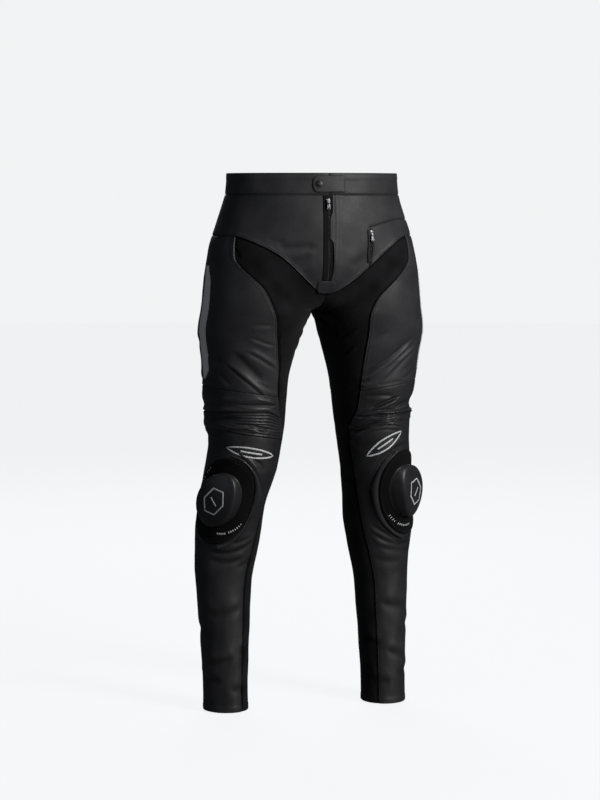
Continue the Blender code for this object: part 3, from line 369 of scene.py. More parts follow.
LEVELS = np.linspace(-1.08, 0.08, 2321)
LEG = {n: softened(LEG_TABLE, LEG_COLUMNS, n, LEVELS, SECTION_SOFTEN) for n in LEG_COLUMNS[1:]}
HIP = {n: softened(HIP_TABLE, HIP_COLUMNS, n, LEVELS, SECTION_SOFTEN) for n in HIP_COLUMNS[1:]}
STRETCH_LINE = {n: softened(STRETCH_TABLE, STRETCH_COLUMNS, n, LEVELS, STRETCH_SOFTEN)
                for n in STRETCH_COLUMNS[1:]}
V_CURVE = {
    name: np.polynomial.Polynomial.fit(
        column(V_TABLE, V_COLUMNS, "u"), column(V_TABLE, V_COLUMNS, name), 6)
    for name in V_COLUMNS[1:]}


def eased(t):
    """0 before 0, 1 after 1, and 3t^2 - 2t^3 between."""
    t = np.clip(t, 0.0, 1.0)
    return t * t * (3 - 2 * t)


def bell(distance, width):
    return np.exp(-(distance / width) ** 2)


def unit(vectors):
    return vectors / np.linalg.norm(vectors, axis=-1, keepdims=True)


def full_turn(count):
    """Even angles once round, without the last, which is the first again."""
    return np.linspace(0.0, 2 * pi, count + 1)[:-1]


def shares(ends, first, count):
    """Shares from 0 to 1: the given ones at each end, even between."""
    return np.concatenate([ends, np.linspace(first, 1 - first, count), 1 - np.array(ends)[::-1]])


def at_height(table, names, name, z):
    return np.interp(z, column(table, names, "z")[::-1], column(table, names, name)[::-1])


def risen(z):
    """Quarter superellipse from 0 at the top of the rise to 1 at the crotch."""
    rise = np.clip((RISE_TOP - z) / (RISE_TOP - CROTCH), 0.0, 1.0)
    return 1 - (1 - rise**RISE_SQUARE) ** (1 / RISE_SQUARE)


RISEN_SOFT = sum(exp(-k * k / 2) * risen(LEVELS + k * RISE_SOFTEN) for k in np.linspace(-2.4, 2.4, 13))
RISEN_SOFT = RISEN_SOFT / RISEN_SOFT[0]


def body(side, u, z):
    """Cloth surface without folds: a hip half-ring and a leg ring, mixed by the rise, which is sharp
    at the centre plane and soft away from it.

    Hip ring: x = half_width sin(pi u), y = -cos(pi u) front or back. Leg ring: middle plus
    -cos(2 pi u) inner or outer, and -sin(2 pi u) front or back.
    """
    u, z = np.broadcast_arrays(np.asarray(u, float), np.asarray(z, float))
    u = u % 1.0 + (u == 1.0)
    leg = {n: np.interp(z, LEVELS, values) for n, values in LEG.items()}
    hip = {n: np.interp(z, LEVELS, values) for n, values in HIP.items()}
    across, along = -np.cos(2 * pi * u), -np.sin(2 * pi * u)
    inner, outer = leg[word(side) + "_inner"], leg[word(side) + "_outer"]
    leg_x = leg["x"] + np.where(across < 0, inner, outer) * across
    leg_y = leg["y"] + np.where(along < 0, leg["front"], leg["back"]) * along
    hip_x = hip["half_width"] * np.sin(pi * u)
    hip_y = -np.cos(pi * u) * np.where(u < 0.5, hip["front"], hip["back"])
    edge = np.minimum(u, 1 - u)
    soft = eased((edge - 0.015) / 0.09)
    near = (1 - soft) * risen(z) + soft * np.interp(z, LEVELS, RISEN_SOFT)
    far = eased((SPLIT_TOP - z) / (SPLIT_TOP - SPLIT_END))
    fall = 0.5 * (1 + np.cos(pi * np.clip(edge / SPLIT_REACH, 0.0, 1.0)))
    leg_share = far + (near - far) * fall
    x = (1 - leg_share) * hip_x + leg_share * leg_x
    y = (1 - leg_share) * hip_y + leg_share * leg_y
    return np.stack([side * x, y, z], axis=-1)


def outward(side, u, z):
    """Unit normals of the cloth surface, from differences round the leg and down it."""
    du, dz = 0.003, 0.0015
    u = np.asarray(u, float)
    low = np.where((u > 0) & (u < du), 0.0, u - du)
    low = np.where(u == 0, 0.0, low)
    high = np.where((u < 1) & (u > 1 - du), 1.0, u + du)
    high = np.where(u == 1, 1.0, high)
    round_the_leg = body(side, high, z) - body(side, low, z)
    down = body(side, u, z - dz) - body(side, u, z + dz)
    normal = np.cross(round_the_leg, down) * side
    return -unit(normal)


def fold(side, u, z):
    """Depth of the largest folds: soft troughs that fade toward both ends."""
    u = np.asarray(u, float) % 1.0
    total = np.zeros(np.broadcast(u, z).shape)
    for of_side, u0, z0, u1, z1, depth, width in FOLD_TABLE:
        if of_side not in (0, side):
            continue
        run_u, run_z = (u1 - u0) * GIRTH, z1 - z0
        off_u, off_z = (u - u0) * GIRTH, z - z0
        t = np.clip((off_u * run_u + off_z * run_z) / (run_u**2 + run_z**2), 0.0, 1.0)
        gap_u, gap_z = off_u - t * run_u, off_z - t * run_z
        fade = 0.45 + 0.55 * np.sin(pi * t)
        total = total + depth * fade * np.exp(-(gap_u**2 + gap_z**2) / width**2)
    return total


def crease(side, u, z):
    """Finer folds, outward positive. With n the distance from a bent line and w the width, each is
    -depth exp(-(n/w)^2) plus a lower ridge at 1.9 w to one side, faded toward the line's ends."""
    u = np.asarray(u, float)
    total = np.zeros(np.broadcast(u, z).shape)
    for of_side, u0, z0, u1, z1, bend, depth, width, lift in CREASE_TABLE:
        if of_side not in (0, side):
            continue
        if u0 - u1 > 0.5:
            u1 += 1.0
        nearest = u - np.round(u - (u0 + u1) / 2)
        run_u, run_z = (u1 - u0) * GIRTH, z1 - z0
        length = np.hypot(run_u, run_z)
        off_u, off_z = (nearest - u0) * GIRTH, z - z0
        t = (off_u * run_u + off_z * run_z) / length**2
        inside = np.clip(t, 0.0, 1.0)
        n = (off_z * run_u - off_u * run_z) / length - bend * 4 * inside * (1 - inside)
        window = eased(t / 0.24) * eased((1 - t) / 0.24)
        w = width * (0.6 + 0.4 * window)
        ridge = abs(lift) * bell(n - np.sign(lift) * 1.9 * w, 1.4 * w)
        total = total + depth * window * (ridge - bell(n, w))
    return total


def swell(side, u, z):
    """Slow unevenness of worn leather: a few crossed waves of 25 to 90 mm, under 0.5 mm high."""
    turn = 2 * pi * np.asarray(u, float)
    return (0.00032 * np.sin(3 * turn + 41 * z + side) * np.sin(57 * z + 2.1 * side)
            + 0.00022 * np.sin(7 * turn - 73 * z + 1.3)
            + 0.00014 * np.sin(11 * turn + 131 * z + 0.7 * side) * np.sin(5 * turn - 93 * z))


def rib_top(u):
    """Height of the first rib: level over the front, lower toward the inner side."""
    return RIB_TOP - 0.0145 * eased((0.215 - u) / 0.10) - 0.003 * eased((u - 0.40) / 0.15)


def ribs(side, u, z):
    """Pleats |sin(pi k)|^0.8 with k from 0 to 8 down the ribbed part, wavering round the leg; on the left
    the first ones are wide and high."""
    top, end = rib_top(u), rib_end(side, u) - 0.001
    share = np.clip((top - z) / (top - end), 0.0, 1.0)
    waver = 0.16 * np.sin(2 * pi * 3.1 * u + side) + 0.10 * np.sin(2 * pi * 7.3 * u + 4 * share)
    spread = share ** (1.45 if side > 0 else 1.0)
    k = np.clip(RIBS * spread + waver * np.sin(pi * share), 0.0, RIBS)
    height = 0.78 + 0.22 * np.sin(5.1 * np.floor(k) + 21 * u + side)
    if side > 0:
        height = height + 1.5 * eased((2.4 - k) / 0.8) * eased((u - 0.215) / 0.03)
    sides = eased((u - stretch_edge(side, z)) / 0.030) * eased((BACK_SEAM - u) / 0.10)
    outer = 1 - 0.75 * eased((u - (0.37 if side > 0 else 0.27)) / 0.12)
    ledge = 0.0022 * bell(z - (top + 0.0045), 0.0048) - 0.0022 * bell(z - top, 0.0014)
    band = (0.0014 * bell(z - (top + 0.024), 0.0060) + ledge) if side < 0 else 0.4 * ledge
    crest = np.abs(np.sin(pi * k)) ** 0.8 * RIB_HEIGHT * height * outer
    return (crest + band) * (0.25 + 0.75 * sides)


def relief(side, u, z):
    """How far the worn surface stands out from the plain body."""
    return crease(side, u, z) + swell(side, u, z) - fold(side, u, z)


def skin(side, u, z, out=0.0):
    """Points of the worn cloth, moved out by the given amount."""
    normal = outward(side, u, z)
    points = body(side, u, z) + normal * (out + relief(side, u, z))[..., None]
    points[..., 0] = side * np.maximum(side * points[..., 0], CENTRE_CLEAR)
    return points


def u_at(side, x, z):
    """The u on the front of one half where the surface is |x| from the centre plane, by halving."""
    low, high = np.zeros(np.broadcast(x, z).shape), np.full(np.broadcast(x, z).shape, 0.25)
    for _ in range(30):
        middle = (low + high) / 2
        under = np.abs(body(side, middle, z)[..., 0]) < np.abs(x)
        low, high = np.where(under, middle, low), np.where(under, high, middle)
    return (low + high) / 2


def centre_front(x, z, out):
    """Points of the front across the centre line, x toward the wearer's left, moved out."""
    x, z = np.broadcast_arrays(np.asarray(x, float), np.asarray(z, float))
    out = np.broadcast_to(out, x.shape)
    points = np.zeros(x.shape + (3,))
    for side in (-1, 1):
        u = u_at(side, x, z)
        lift = out + relief(side, u, z)
        reach = body(side, u, z) + outward(side, u, z) * lift[..., None]
        points = np.where((side * x >= 0)[..., None], reach, points)
    points[..., 0] = x
    return points


def stretch_edge(side, z):
    return np.interp(z, LEVELS, STRETCH_LINE[word(side)])


def v_height(side, t):
    return V_CURVE[word(side)](t * V_TABLE[-1][0])


def knee_seam(side, u):
    return KNEE_SEAM + side * KNEE_SEAM_SIDE + KNEE_SEAM_TILT * np.cos(2 * pi * (u - 0.5))


def rib_end(side, u):
    return RIB_END + side * RIB_END_SIDE + KNEE_SEAM_TILT * np.cos(2 * pi * (u - 0.5))


def hem_line(side, u):
    return np.full(np.shape(u), HEM)


def spaced(length, step):
    """Shares from 0 to 1 along a length: close together at both ends, even between."""
    near = np.array(NEAR_SEAM)
    count = max(2, int(round((length - 2 * near[-1]) / step)) + 1)
    middle = np.linspace(near[-1], length - near[-1], count)
    return np.concatenate([near[:-1], middle, length - near[-2::-1]]) / length


def ring_columns(edge, front_t, outer_t, back_t):
    """u across a half: inner line to the stretch edge, on to the back seam, on to the inner line."""
    edge = np.asarray(edge, float).reshape(-1, 1)
    return np.concatenate([
        edge * front_t, edge + (BACK_SEAM - edge) * outer_t,
        np.broadcast_to(BACK_SEAM + (1 - BACK_SEAM) * back_t, (edge.shape[0], back_t.size))], axis=1)


def split_at(share, before, after):
    """Two runs of shares from 0 to 1 as one run, which meet at the given share."""
    return np.concatenate([share * before, share + (1 - share) * after[1:]])


def upper_grid(side):
    """u and z from the band seam to the knee seam, and the rows and columns of the seams.

    Rows above the slanted seam share out the height between the band seam and that seam, and rows
    below it pass from the slanted seam over the row table to the tilted knee seam.
    """
    corner = V_TABLE[-1][0]
    to_pocket, to_edge = spaced(POCKET_LENGTH, GRID_STEP), spaced(STRETCH_LENGTH, GRID_STEP)
    front_t = split_at(POCKET_SHARE, to_pocket, to_edge)
    outer_t, back_t = spaced(OUTER_LENGTH, GRID_STEP)[1:], spaced(BACK_LENGTH, BACK_STEP)[1:]
    yoke, under_yoke, below = (
        spaced(length, GRID_STEP) for length in (YOKE_LENGTH, UNDER_YOKE_LENGTH, THIGH_LENGTH))
    v_line = v_height(side, front_t)
    v_share = (v_line - v_line[0]) / (v_line[-1] - v_line[0])
    back_share = 1 - eased(back_t)

    share_in = split_at(YOKE_INNER, yoke, under_yoke)[:, None]
    share_out = split_at(YOKE_OUTER, yoke, under_yoke)[:, None]
    beyond = np.clip((front_t - POCKET_SHARE) / (1 - POCKET_SHARE), 0.0, 1.0)
    front_z = BAND_SEAM + (v_line - BAND_SEAM) * (share_in + (share_out - share_in) * beyond)
    outer_z = front_z[:, -1:]
    centre_back = BAND_SEAM + (v_line[0] - BAND_SEAM) * share_in
    z_above = np.concatenate([
        front_z, outer_z + 0 * outer_t, centre_back + (outer_z - centre_back) * back_share], axis=1)
    u_above = ring_columns(np.full(share_in.shape, corner), front_t, outer_t, back_t)

    rows = below[1:] * (len(ROW_TABLE) - 1 + THIGH_ROWS)
    table = np.array(ROW_TABLE)
    index = np.arange(len(ROW_TABLE))
    inner, outer = (np.interp(rows, index, table[:, k])[:, None] for k in (0, 1))
    z_rows = np.concatenate([
        inner + (outer - inner) * v_share, outer + 0 * outer_t,
        inner + (outer - inner) * back_share], axis=1)
    down = np.clip((rows - (len(ROW_TABLE) - 1)) / THIGH_ROWS, 0.0, 1.0)[:, None]
    middle = np.where(down > 0, THIGH_LEVEL + (KNEE_SEAM - THIGH_LEVEL) * down, outer)
    u_below = ring_columns(stretch_edge(side, middle), front_t, outer_t, back_t)
    z_thigh = THIGH_LEVEL + (knee_seam(side, u_below) - THIGH_LEVEL) * down
    z_below = np.where(down > 0, z_thigh, z_rows)

    marks = {
        "yoke": yoke.size - 1, "v": share_in.size - 1, "pocket": to_pocket.size - 1,
        "edge": front_t.size - 1, "back": front_t.size + outer_t.size - 1}
    return np.concatenate([u_above, u_below]), np.concatenate([z_above, z_below]), marks


def side_seam(side, top, bottom, share, edge):
    """The u of a side seam at each share of the way down, found by repeated substitution."""
    u = edge(side, top(side, 0.5) + (bottom(side, 0.5) - top(side, 0.5)) * share)
    for _ in range(8):
        u = edge(side, top(side, u) + (bottom(side, u) - top(side, u)) * share)
    return u


def lower_strip(side, top, bottom, down, start, end, across):
    """Grid between two ring seams, its side edges on two seams down the leg."""
    share = down[:, None]
    first = side_seam(side, top, bottom, share, start)
    last = side_seam(side, top, bottom, share, end)
    u = first + (last - first) * across[None, :]
    z_top, z_bottom = top(side, u), bottom(side, u)
    return u, z_top + (z_bottom - z_top) * share


def back_edge(side, z):
    return np.full(np.shape(z), BACK_SEAM)


def inner_edge_round(side, z):
    return 1.0 + stretch_edge(side, z)


# Seams, by the distance d from the edge of a panel

def joined(d):
    """Leather sewn to leather: a narrow valley in a wider dip."""
    return -0.0012 * bell(d, 0.0011) - 0.0005 * bell(d, 0.0045)


def lapped(d):
    """Turned leather edge on stretch cloth: 8 mm raised, a bead along it, a valley for its thread."""
    raised = 0.0009 * eased((0.0085 - d) / 0.0045) + 0.0002 * bell(d - 0.0013, 0.0009)
    return raised - 0.0011 * bell(d, 0.0005) - 0.0008 * bell(d - 0.0031, 0.0009)


def tucked(d):
    """Stretch cloth going in under a leather edge."""
    return -0.0019 * bell(d, 0.0032)


def turned(d):
    """Free edge folded back on itself: thicker for 11 mm, rounded at its end."""
    return 0.0007 * eased((0.0125 - d) / 0.0020) - 0.0009 * bell(d, 0.0006)


def flat_edge(d):
    return -0.0007 * bell(d, 0.0007)


# Meshes

def lengths(points, axis):
    """Distance along the grid lines from the first row or column."""
    steps = np.linalg.norm(np.diff(points, axis=axis), axis=-1)
    first = np.zeros_like(np.take(steps, [0], axis=axis))
    return np.concatenate([first, np.cumsum(steps, axis=axis)], axis=axis)


def sheet_normals(points, like):
    """Unit normals of a grid of points, on the same side as the given directions."""
    normal = np.cross(np.gradient(points, axis=0), np.gradient(points, axis=1))
    normal = normal / np.maximum(np.linalg.norm(normal, axis=-1, keepdims=True), 1e-12)
    return normal * np.where((normal * like).sum(-1).mean() < 0, -1.0, 1.0)


def drawn_in(points, cells):
    """Edge points of a group of cells moved inward by half the seam gap."""
    rows, cols = cells.shape
    pad = np.pad(cells, 1).astype(int)
    a, b, c, d = pad[:-1, :-1], pad[:-1, 1:], pad[1:, :-1], pad[1:, 1:]
    total = a + b + c + d
    free = (total > 0) & (total < 4)
    moved = points.copy()
    i, j = np.indices((rows + 1, cols + 1))
    for step_i, step_j in ((np.sign(c + d - a - b), 0 * a), (0 * a, np.sign(b + d - a - c))):
        along = points[np.clip(i + step_i, 0, rows), np.clip(j + step_j, 0, cols)] - points
        size = np.linalg.norm(along, axis=-1, keepdims=True)
        ahead = along / np.maximum(size, 1e-9)
        moved += np.where(free[..., None] & (size > 1e-9), ahead, 0) * SEAM_GAP / 2
    return moved


def mesh_piece(name, points, faces, finishes, which=None, uv=None, values=None, sharp=50.0):
    """An object from arrays of points and of faces with 3 or 4 corners each."""
    data = bpy.data.meshes.new(name)
    faces = [np.asarray(f, np.int32) for f in faces if len(f)]
    corners = np.concatenate([f.ravel() for f in faces])
    sizes = np.concatenate([np.full(len(f), f.shape[1], np.int32) for f in faces])
    used, corners = np.unique(corners, return_inverse=True)
    points = points[used]
    data.vertices.add(len(points))
    data.vertices.foreach_set("co", points.astype(np.float32).ravel())
    data.loops.add(len(corners))
    data.loops.foreach_set("vertex_index", corners.astype(np.int32))
    data.polygons.add(len(sizes))
    data.polygons.foreach_set("loop_start", (np.cumsum(sizes) - sizes).astype(np.int32))
    data.polygons.foreach_set("loop_total", sizes)
    if which is not None:
        data.polygons.foreach_set("material_index", np.concatenate(
            [np.full(len(f), w, np.int32) for f, w in zip(faces, which)]))
    if uv is not None:
        layer = data.uv_layers.new(name="cloth")
        layer.data.foreach_set("uv", uv[used][corners].astype(np.float32).ravel())
    if values is not None:
        layer = data.attributes.new("ridge", "FLOAT", "POINT")
        layer.data.foreach_set("value", values[used].astype(np.float32))
    data.update(calc_edges=True)
    data.validate()
    data.shade_smooth()
    data.set_sharp_from_angle(angle=radians(sharp))
    for finish in finishes:
        data.materials.append(finish)
    piece = bpy.data.objects.new(name, data)
    bpy.context.scene.collection.objects.link(piece)
    return piece


def shell(name, outer, inner, cells, finishes, uv=None, values=None):
    """Closed body: an outer sheet, an inner sheet turned round, and a rim along every free edge."""
    rows, cols = cells.shape
    index = np.arange((rows + 1) * (cols + 1)).reshape(rows + 1, cols + 1)
    a, b, c, d = index[:-1, :-1], index[1:, :-1], index[1:, 1:], index[:-1, 1:]
    quads = np.stack([a, b, c, d], -1)[cells]
    rims = []
    pad = np.pad(cells, 1)
    for (di, dj), (p, q) in (((0, -1), (a, b)), ((1, 0), (b, c)), ((0, 1), (c, d)), ((-1, 0), (d, a))):
        free = cells & ~pad[1 + di:1 + di + rows, 1 + dj:1 + dj + cols]
        p, q = p[free], q[free]
        rims.append(np.stack([q, p, p + index.size, q + index.size], -1))
    faces = [quads, quads[:, ::-1] + index.size, np.concatenate(rims)]
    points = np.concatenate([outer.reshape(-1, 3), inner.reshape(-1, 3)])
    corner = points[quads]
    facing = np.cross(corner[:, 2] - corner[:, 0], corner[:, 3] - corner[:, 1])
    wall = (outer - inner).reshape(-1, 3)[quads[:, 0]]
    if (facing * wall).sum() < 0:
        faces = [f[:, ::-1] for f in faces]
    doubled_uv = None if uv is None else np.tile(uv.reshape(-1, 2), (2, 1))
    doubled = None if values is None else np.tile(values.ravel(), 2)
    inside = len(finishes) - 1
    return mesh_piece(name, points, faces, finishes,
                      which=(0, inside, 0), uv=doubled_uv, values=doubled)


def whole(points):
    """Every cell of a grid."""
    return np.ones((points.shape[0] - 1, points.shape[1] - 1), bool)


def tiles(name, template, faces, middle, along, out, finishes):
    """Many copies of one small shape: template x along, y across, z out, at each middle point."""
    along = unit(along)
    across = unit(np.cross(out, along))
    out = np.cross(along, across)
    points = (middle[:, None] + template[None, :, :1] * along[:, None]
              + template[None, :, 1:2] * across[:, None] + template[None, :, 2:] * out[:, None])
    shift = (np.arange(len(middle)) * len(template))[:, None, None]
    groups = [(np.asarray(group)[None] + shift).reshape(-1, len(group[0])) for group in faces]
    return mesh_piece(name, points.reshape(-1, 3), groups, finishes)


def tube(rings):
    """Faces of a run of rings of four points, closed at both ends."""
    quads = [(4 * r + k, 4 * r + (k + 1) % 4, 4 * r + 4 + (k + 1) % 4, 4 * r + 4 + k)
             for r in range(rings - 1) for k in range(4)]
    last = 4 * (rings - 1)
    return quads + [(3, 2, 1, 0), (last, last + 1, last + 2, last + 3)]


def ring_shape(rows):
    """Template points of a run of rings: (position, half width, half height, rise) of each ring."""
    turn = np.array([0.0, 1.0, 0.0, -1.0]), np.array([-1.0, 0.0, 1.0, 0.0])
    rows = np.array(rows)[:, None, :]
    return np.stack([
        rows[..., 0] + 0 * turn[0], rows[..., 1] * turn[0], rows[..., 3] + rows[..., 2] * turn[1]],
        axis=-1).reshape(-1, 3)


STITCH_SHAPE = ring_shape((
    (-0.50 * STITCH_LENGTH, 0.45 * STITCH_HALF, 0.45 * STITCH_HALF, -0.00022),
    (-0.18 * STITCH_LENGTH, STITCH_HALF, STITCH_HALF, 0.00010),
    (0.18 * STITCH_LENGTH, STITCH_HALF, STITCH_HALF, 0.00010),
    (0.50 * STITCH_LENGTH, 0.45 * STITCH_HALF, 0.45 * STITCH_HALF, -0.00022)))


def followed(at, reach, points):
    """Points of a line at the given distances along it."""
    return np.stack([np.interp(at, reach, points[:, k]) for k in range(3)], -1)


def stitching(name, lines, finish):
    """One thread piece: short lens-shaped stitches at an even pitch along each line of points."""
    middle, along, out = [], [], []
    for points, normal in lines:
        reach = lengths(points[:, None], 0)[:, 0]
        count = int((reach[-1] - STITCH_PITCH) / STITCH_PITCH)
        if count < 1:
            continue
        at = reach[-1] / 2 + (np.arange(count) - (count - 1) / 2) * STITCH_PITCH
        middle.append(followed(at, reach, points))
        along.append(followed(at + 0.0006, reach, points) - followed(at - 0.0006, reach, points))
        out.append(followed(at, reach, normal))
    piece = tiles(name, STITCH_SHAPE, [tube(4)],
                  *(np.concatenate(v) for v in (middle, along, out)), [finish])
    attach(piece, "garment")


def line_beside(sheet, facing, edge, distance, start=0, stop=None):
    """Points and normals on a sheet at a fixed distance in from one of its edges."""
    turn = {"top": lambda a: a, "bottom": lambda a: a[::-1],
            "left": lambda a: a.swapaxes(0, 1), "right": lambda a: a.swapaxes(0, 1)[::-1]}[edge]
    sheet, facing = turn(sheet)[:60, start:stop], turn(facing)[:60, start:stop]
    reach = lengths(sheet, 0)
    k = np.clip((reach < distance).sum(0), 1, reach.shape[0] - 1)
    j = np.arange(sheet.shape[1])
    t = ((distance - reach[k - 1, j]) / (reach[k, j] - reach[k - 1, j]))[:, None]
    return sheet[k - 1, j] + t * (sheet[k, j] - sheet[k - 1, j]), facing[k, j]


# Materials

class Wire:
    """A socket of a material; arithmetic on wires adds Math nodes."""

    def __init__(self, board, socket):
        self.board, self.socket = board, socket

    def math(self, operation, *others):
        return self.board.node("ShaderNodeMath", {"operation": operation}, [self, *others]).wire()

    def __add__(self, other):
        return self.math("ADD", other)

    def __sub__(self, other):
        return self.math("SUBTRACT", other)

    def __rsub__(self, other):
        return self.board.node("ShaderNodeMath", {"operation": "SUBTRACT"}, [other, self]).wire()

    def __mul__(self, other):
        return self.math("MULTIPLY", other)

    __radd__, __rmul__ = __add__, __mul__

    def __pow__(self, other):
        return self.math("POWER", other)

    def clamped(self):
        held = self.board.node("ShaderNodeMath", {"operation": "ADD", "use_clamp": True}, [self, 0.0])
        return held.wire()


class Node:
    def __init__(self, board, node):
        self.board, self.node = board, node

    def wire(self, name=0):
        return Wire(self.board, self.node.outputs[name])


class Board:
    """The nodes of one material."""

    def __init__(self, name, **constants):
        self.material = bpy.data.materials.new(name)
        self.material.use_nodes = True
        self.tree = self.material.node_tree
        self.shader = self.tree.nodes["Principled BSDF"]
        for socket, value in constants.items():
            self.shader.inputs[socket.replace("_", " ")].default_value = value

    def node(self, kind, settings=(), values=()):
        """Adds a node: its settings, then values or wires for its sockets by name or order."""
        made = self.tree.nodes.new(kind)
        for key, value in dict(settings).items():
            setattr(made, key, value)
        pairs = values.items() if isinstance(values, dict) else enumerate(values)
        for key, value in pairs:
            self.plug(made.inputs[key], value)
        return Node(self, made)

    def plug(self, socket, value):
        if isinstance(value, Wire):
            self.tree.links.new(value.socket, socket)
        else:
            socket.default_value = value

    def place(self):
        return self.node("ShaderNodeTexCoord").wire("Object")

    def cloth_place(self):
        return self.node("ShaderNodeUVMap", {"uv_map": "cloth"}).wire("UV")

    def noise(self, place, scale, detail=2.0):
        return self.node("ShaderNodeTexNoise", {}, {
            "Vector": place, "Scale": scale, "Detail": detail, "Roughness": 0.5}).wire("Fac")

    def cells(self, place, scale, feature="F1", randomness=1.0):
        return self.node("ShaderNodeTexVoronoi", {"feature": feature}, {
            "Vector": place, "Scale": scale, "Randomness": randomness}).wire("Distance")

    def ramp(self, wire, stops):
        made = self.node("ShaderNodeValToRGB", {}, {"Fac": wire})
        elements = made.node.color_ramp.elements
        while len(elements) < len(stops):
            elements.new(0.5)
        for element, (position, value) in zip(elements, stops):
            element.position = position
            element.color = (value, value, value, 1.0) if np.isscalar(value) else (*value, 1.0)
        return made.wire("Color")

    def mixed(self, share, one, other):
        made = self.node("ShaderNodeMix", {"data_type": "RGBA"})
        for name, value in (("Factor_Float", share), ("A_Color", one), ("B_Color", other)):
            socket = next(s for s in made.node.inputs if s.identifier == name)
            single = isinstance(value, Wire) or np.isscalar(value)
            self.plug(socket, value if single else (*value, 1.0))
        return Wire(self, next(s for s in made.node.outputs if s.identifier == "Result_Color"))

    def warped(self, place, scale, amount):
        """A place pushed about by a coarser noise, so that cells don't line up."""
        noise = self.node("ShaderNodeTexNoise", {}, {"Vector": place, "Scale": scale, "Detail": 1.0})
        push = self.node("ShaderNodeVectorMath", {"operation": "SCALE"},
                         {0: noise.wire("Color"), "Scale": amount}).wire("Vector")
        return self.node("ShaderNodeVectorMath", {"operation": "ADD"}, [place, push]).wire("Vector")

    def finish(self, colour=None, roughness=None, height=None, distance=0.0002, strength=1.0):
        if colour is not None:
            self.plug(self.shader.inputs["Base Color"], colour)
        if roughness is not None:
            self.plug(self.shader.inputs["Roughness"], roughness)
        if height is not None:
            bump = self.node("ShaderNodeBump", {},
                             {"Strength": strength, "Distance": distance, "Height": height})
            self.plug(self.shader.inputs["Normal"], bump.wire("Normal"))
        return self.material


def leather_finish(name, dark, light, rough, gloss):
    """Grained cowhide: rounded pebbles parted by fine creases; lighter and glossier on the raised ridges of
    folds and seams, as rubbed wear with painted highlight, and darker in creases and sunk seams, as painted
    shade.
    """
    b = Board(name, Specular_IOR_Level=gloss)
    place = b.place()
    broad, fine = b.noise(place, 16.0), b.noise(place, 210.0, 3.0)
    pebbles = b.cells(b.warped(place, 300.0, 0.0012), 640.0, "SMOOTH_F1")
    creases = b.cells(b.warped(place, 90.0, 0.0040), 150.0, "DISTANCE_TO_EDGE")
    pores = b.cells(place, 1900.0)
    lines = (1.0 - (creases * 14.0).clamped())
    ridge = b.node("ShaderNodeAttribute", {"attribute_name": "ridge"}).wire("Fac")
    # Raised parts lighter and glossier: rubbed wear, and painted highlight.
    ridge_wear_and_highlight = ((ridge - 0.50) * 1.6).clamped()
    # Creases and sunk seams darker: painted shade.
    painted_hollow_shade = ((0.50 - ridge) * 1.6).clamped()
    pitted = 1.0 - (pores * 2.2).clamped()
    height = (1.0 - pebbles) * 0.75 - lines * 0.35 - pitted * 0.12 + fine * 0.25
    tone = (broad * 0.75 + fine * 0.25 + ridge_wear_and_highlight * 0.35 - painted_hollow_shade * 0.25).clamped()
    colour = b.mixed(b.ramp(tone, ((0.30, 0.0), (0.72, 1.0))), dark, light)
    roughness = (rough + (fine - 0.5) * 0.12 + (broad - 0.5) * 0.10 - ridge_wear_and_highlight * 0.10
                 + painted_hollow_shade * 0.08 + lines * 0.05).clamped()
    return b.finish(colour, roughness, height, 0.00022, 0.55)


def stretch_finish():
    """Matt stretch weave: fine ribs across, crossed by a finer thread, with a soft bloom; painted nearly black
    as shade where it sinks under leather edges, in creases and in the gap beside the right thigh panel.
    """
    b = Board("stretch_weave", Specular_IOR_Level=0.22, Sheen_Weight=0.06, Sheen_Roughness=0.55)
    place = b.cloth_place()
    broken = b.node("ShaderNodeSeparateXYZ", {}, [place])
    across, down = broken.wire("X"), broken.wire("Y")
    yarn = (down * (2 * pi / 0.00105) + (across * (2 * pi / 0.0021)).math("SINE") * 0.9).math("SINE")
    thread = (across * (2 * pi / 0.00070)).math("SINE")
    weave = yarn * 0.5 + thread * 0.3
    broad = b.noise(b.place(), 22.0)
    lint = b.noise(b.place(), 900.0, 2.0)
    tone = (weave * 0.25 + broad * 0.5 + lint * 0.25).clamped()
    ridge = b.node("ShaderNodeAttribute", {"attribute_name": "ridge"}).wire("Fac")
    # Painted shade: nearly black where the cloth sinks, by the ridge value.
    painted_hollow_shade = ((0.38 - ridge) * 2.6).clamped()
    lit = b.mixed(tone, (0.0044, 0.0043, 0.0055), (0.0088, 0.0086, 0.0108))
    colour = b.mixed(painted_hollow_shade, lit, (0.0001, 0.0001, 0.0001))
    roughness = (0.80 + (lint - 0.5) * 0.15 + painted_hollow_shade * 0.3).clamped()
    return b.finish(colour, roughness, weave * 0.5 + lint * 0.4, 0.00018, 0.6)


def lining_finish():
    """Knitted mesh lining: small holes in even rows."""
    b = Board("mesh_lining", Specular_IOR_Level=0.2, Sheen_Weight=0.10)
    place = b.cloth_place()
    broken = b.node("ShaderNodeSeparateXYZ", {}, [place])
    across = (broken.wire("X") * (2 * pi / 0.0030)).math("SINE")
    down = (broken.wire("Y") * (2 * pi / 0.0030)).math("SINE")
    holes = ((across * down).math("ABSOLUTE") ** 0.6)
    broad = b.noise(b.place(), 30.0)
    colour = b.mixed((holes * 0.7 + broad * 0.3).clamped(),
                     (0.020, 0.020, 0.022), (0.004, 0.004, 0.005))
    return b.finish(colour, 0.85 + (broad - 0.5) * 0.1, 1.0 - holes, 0.0003, 0.6)


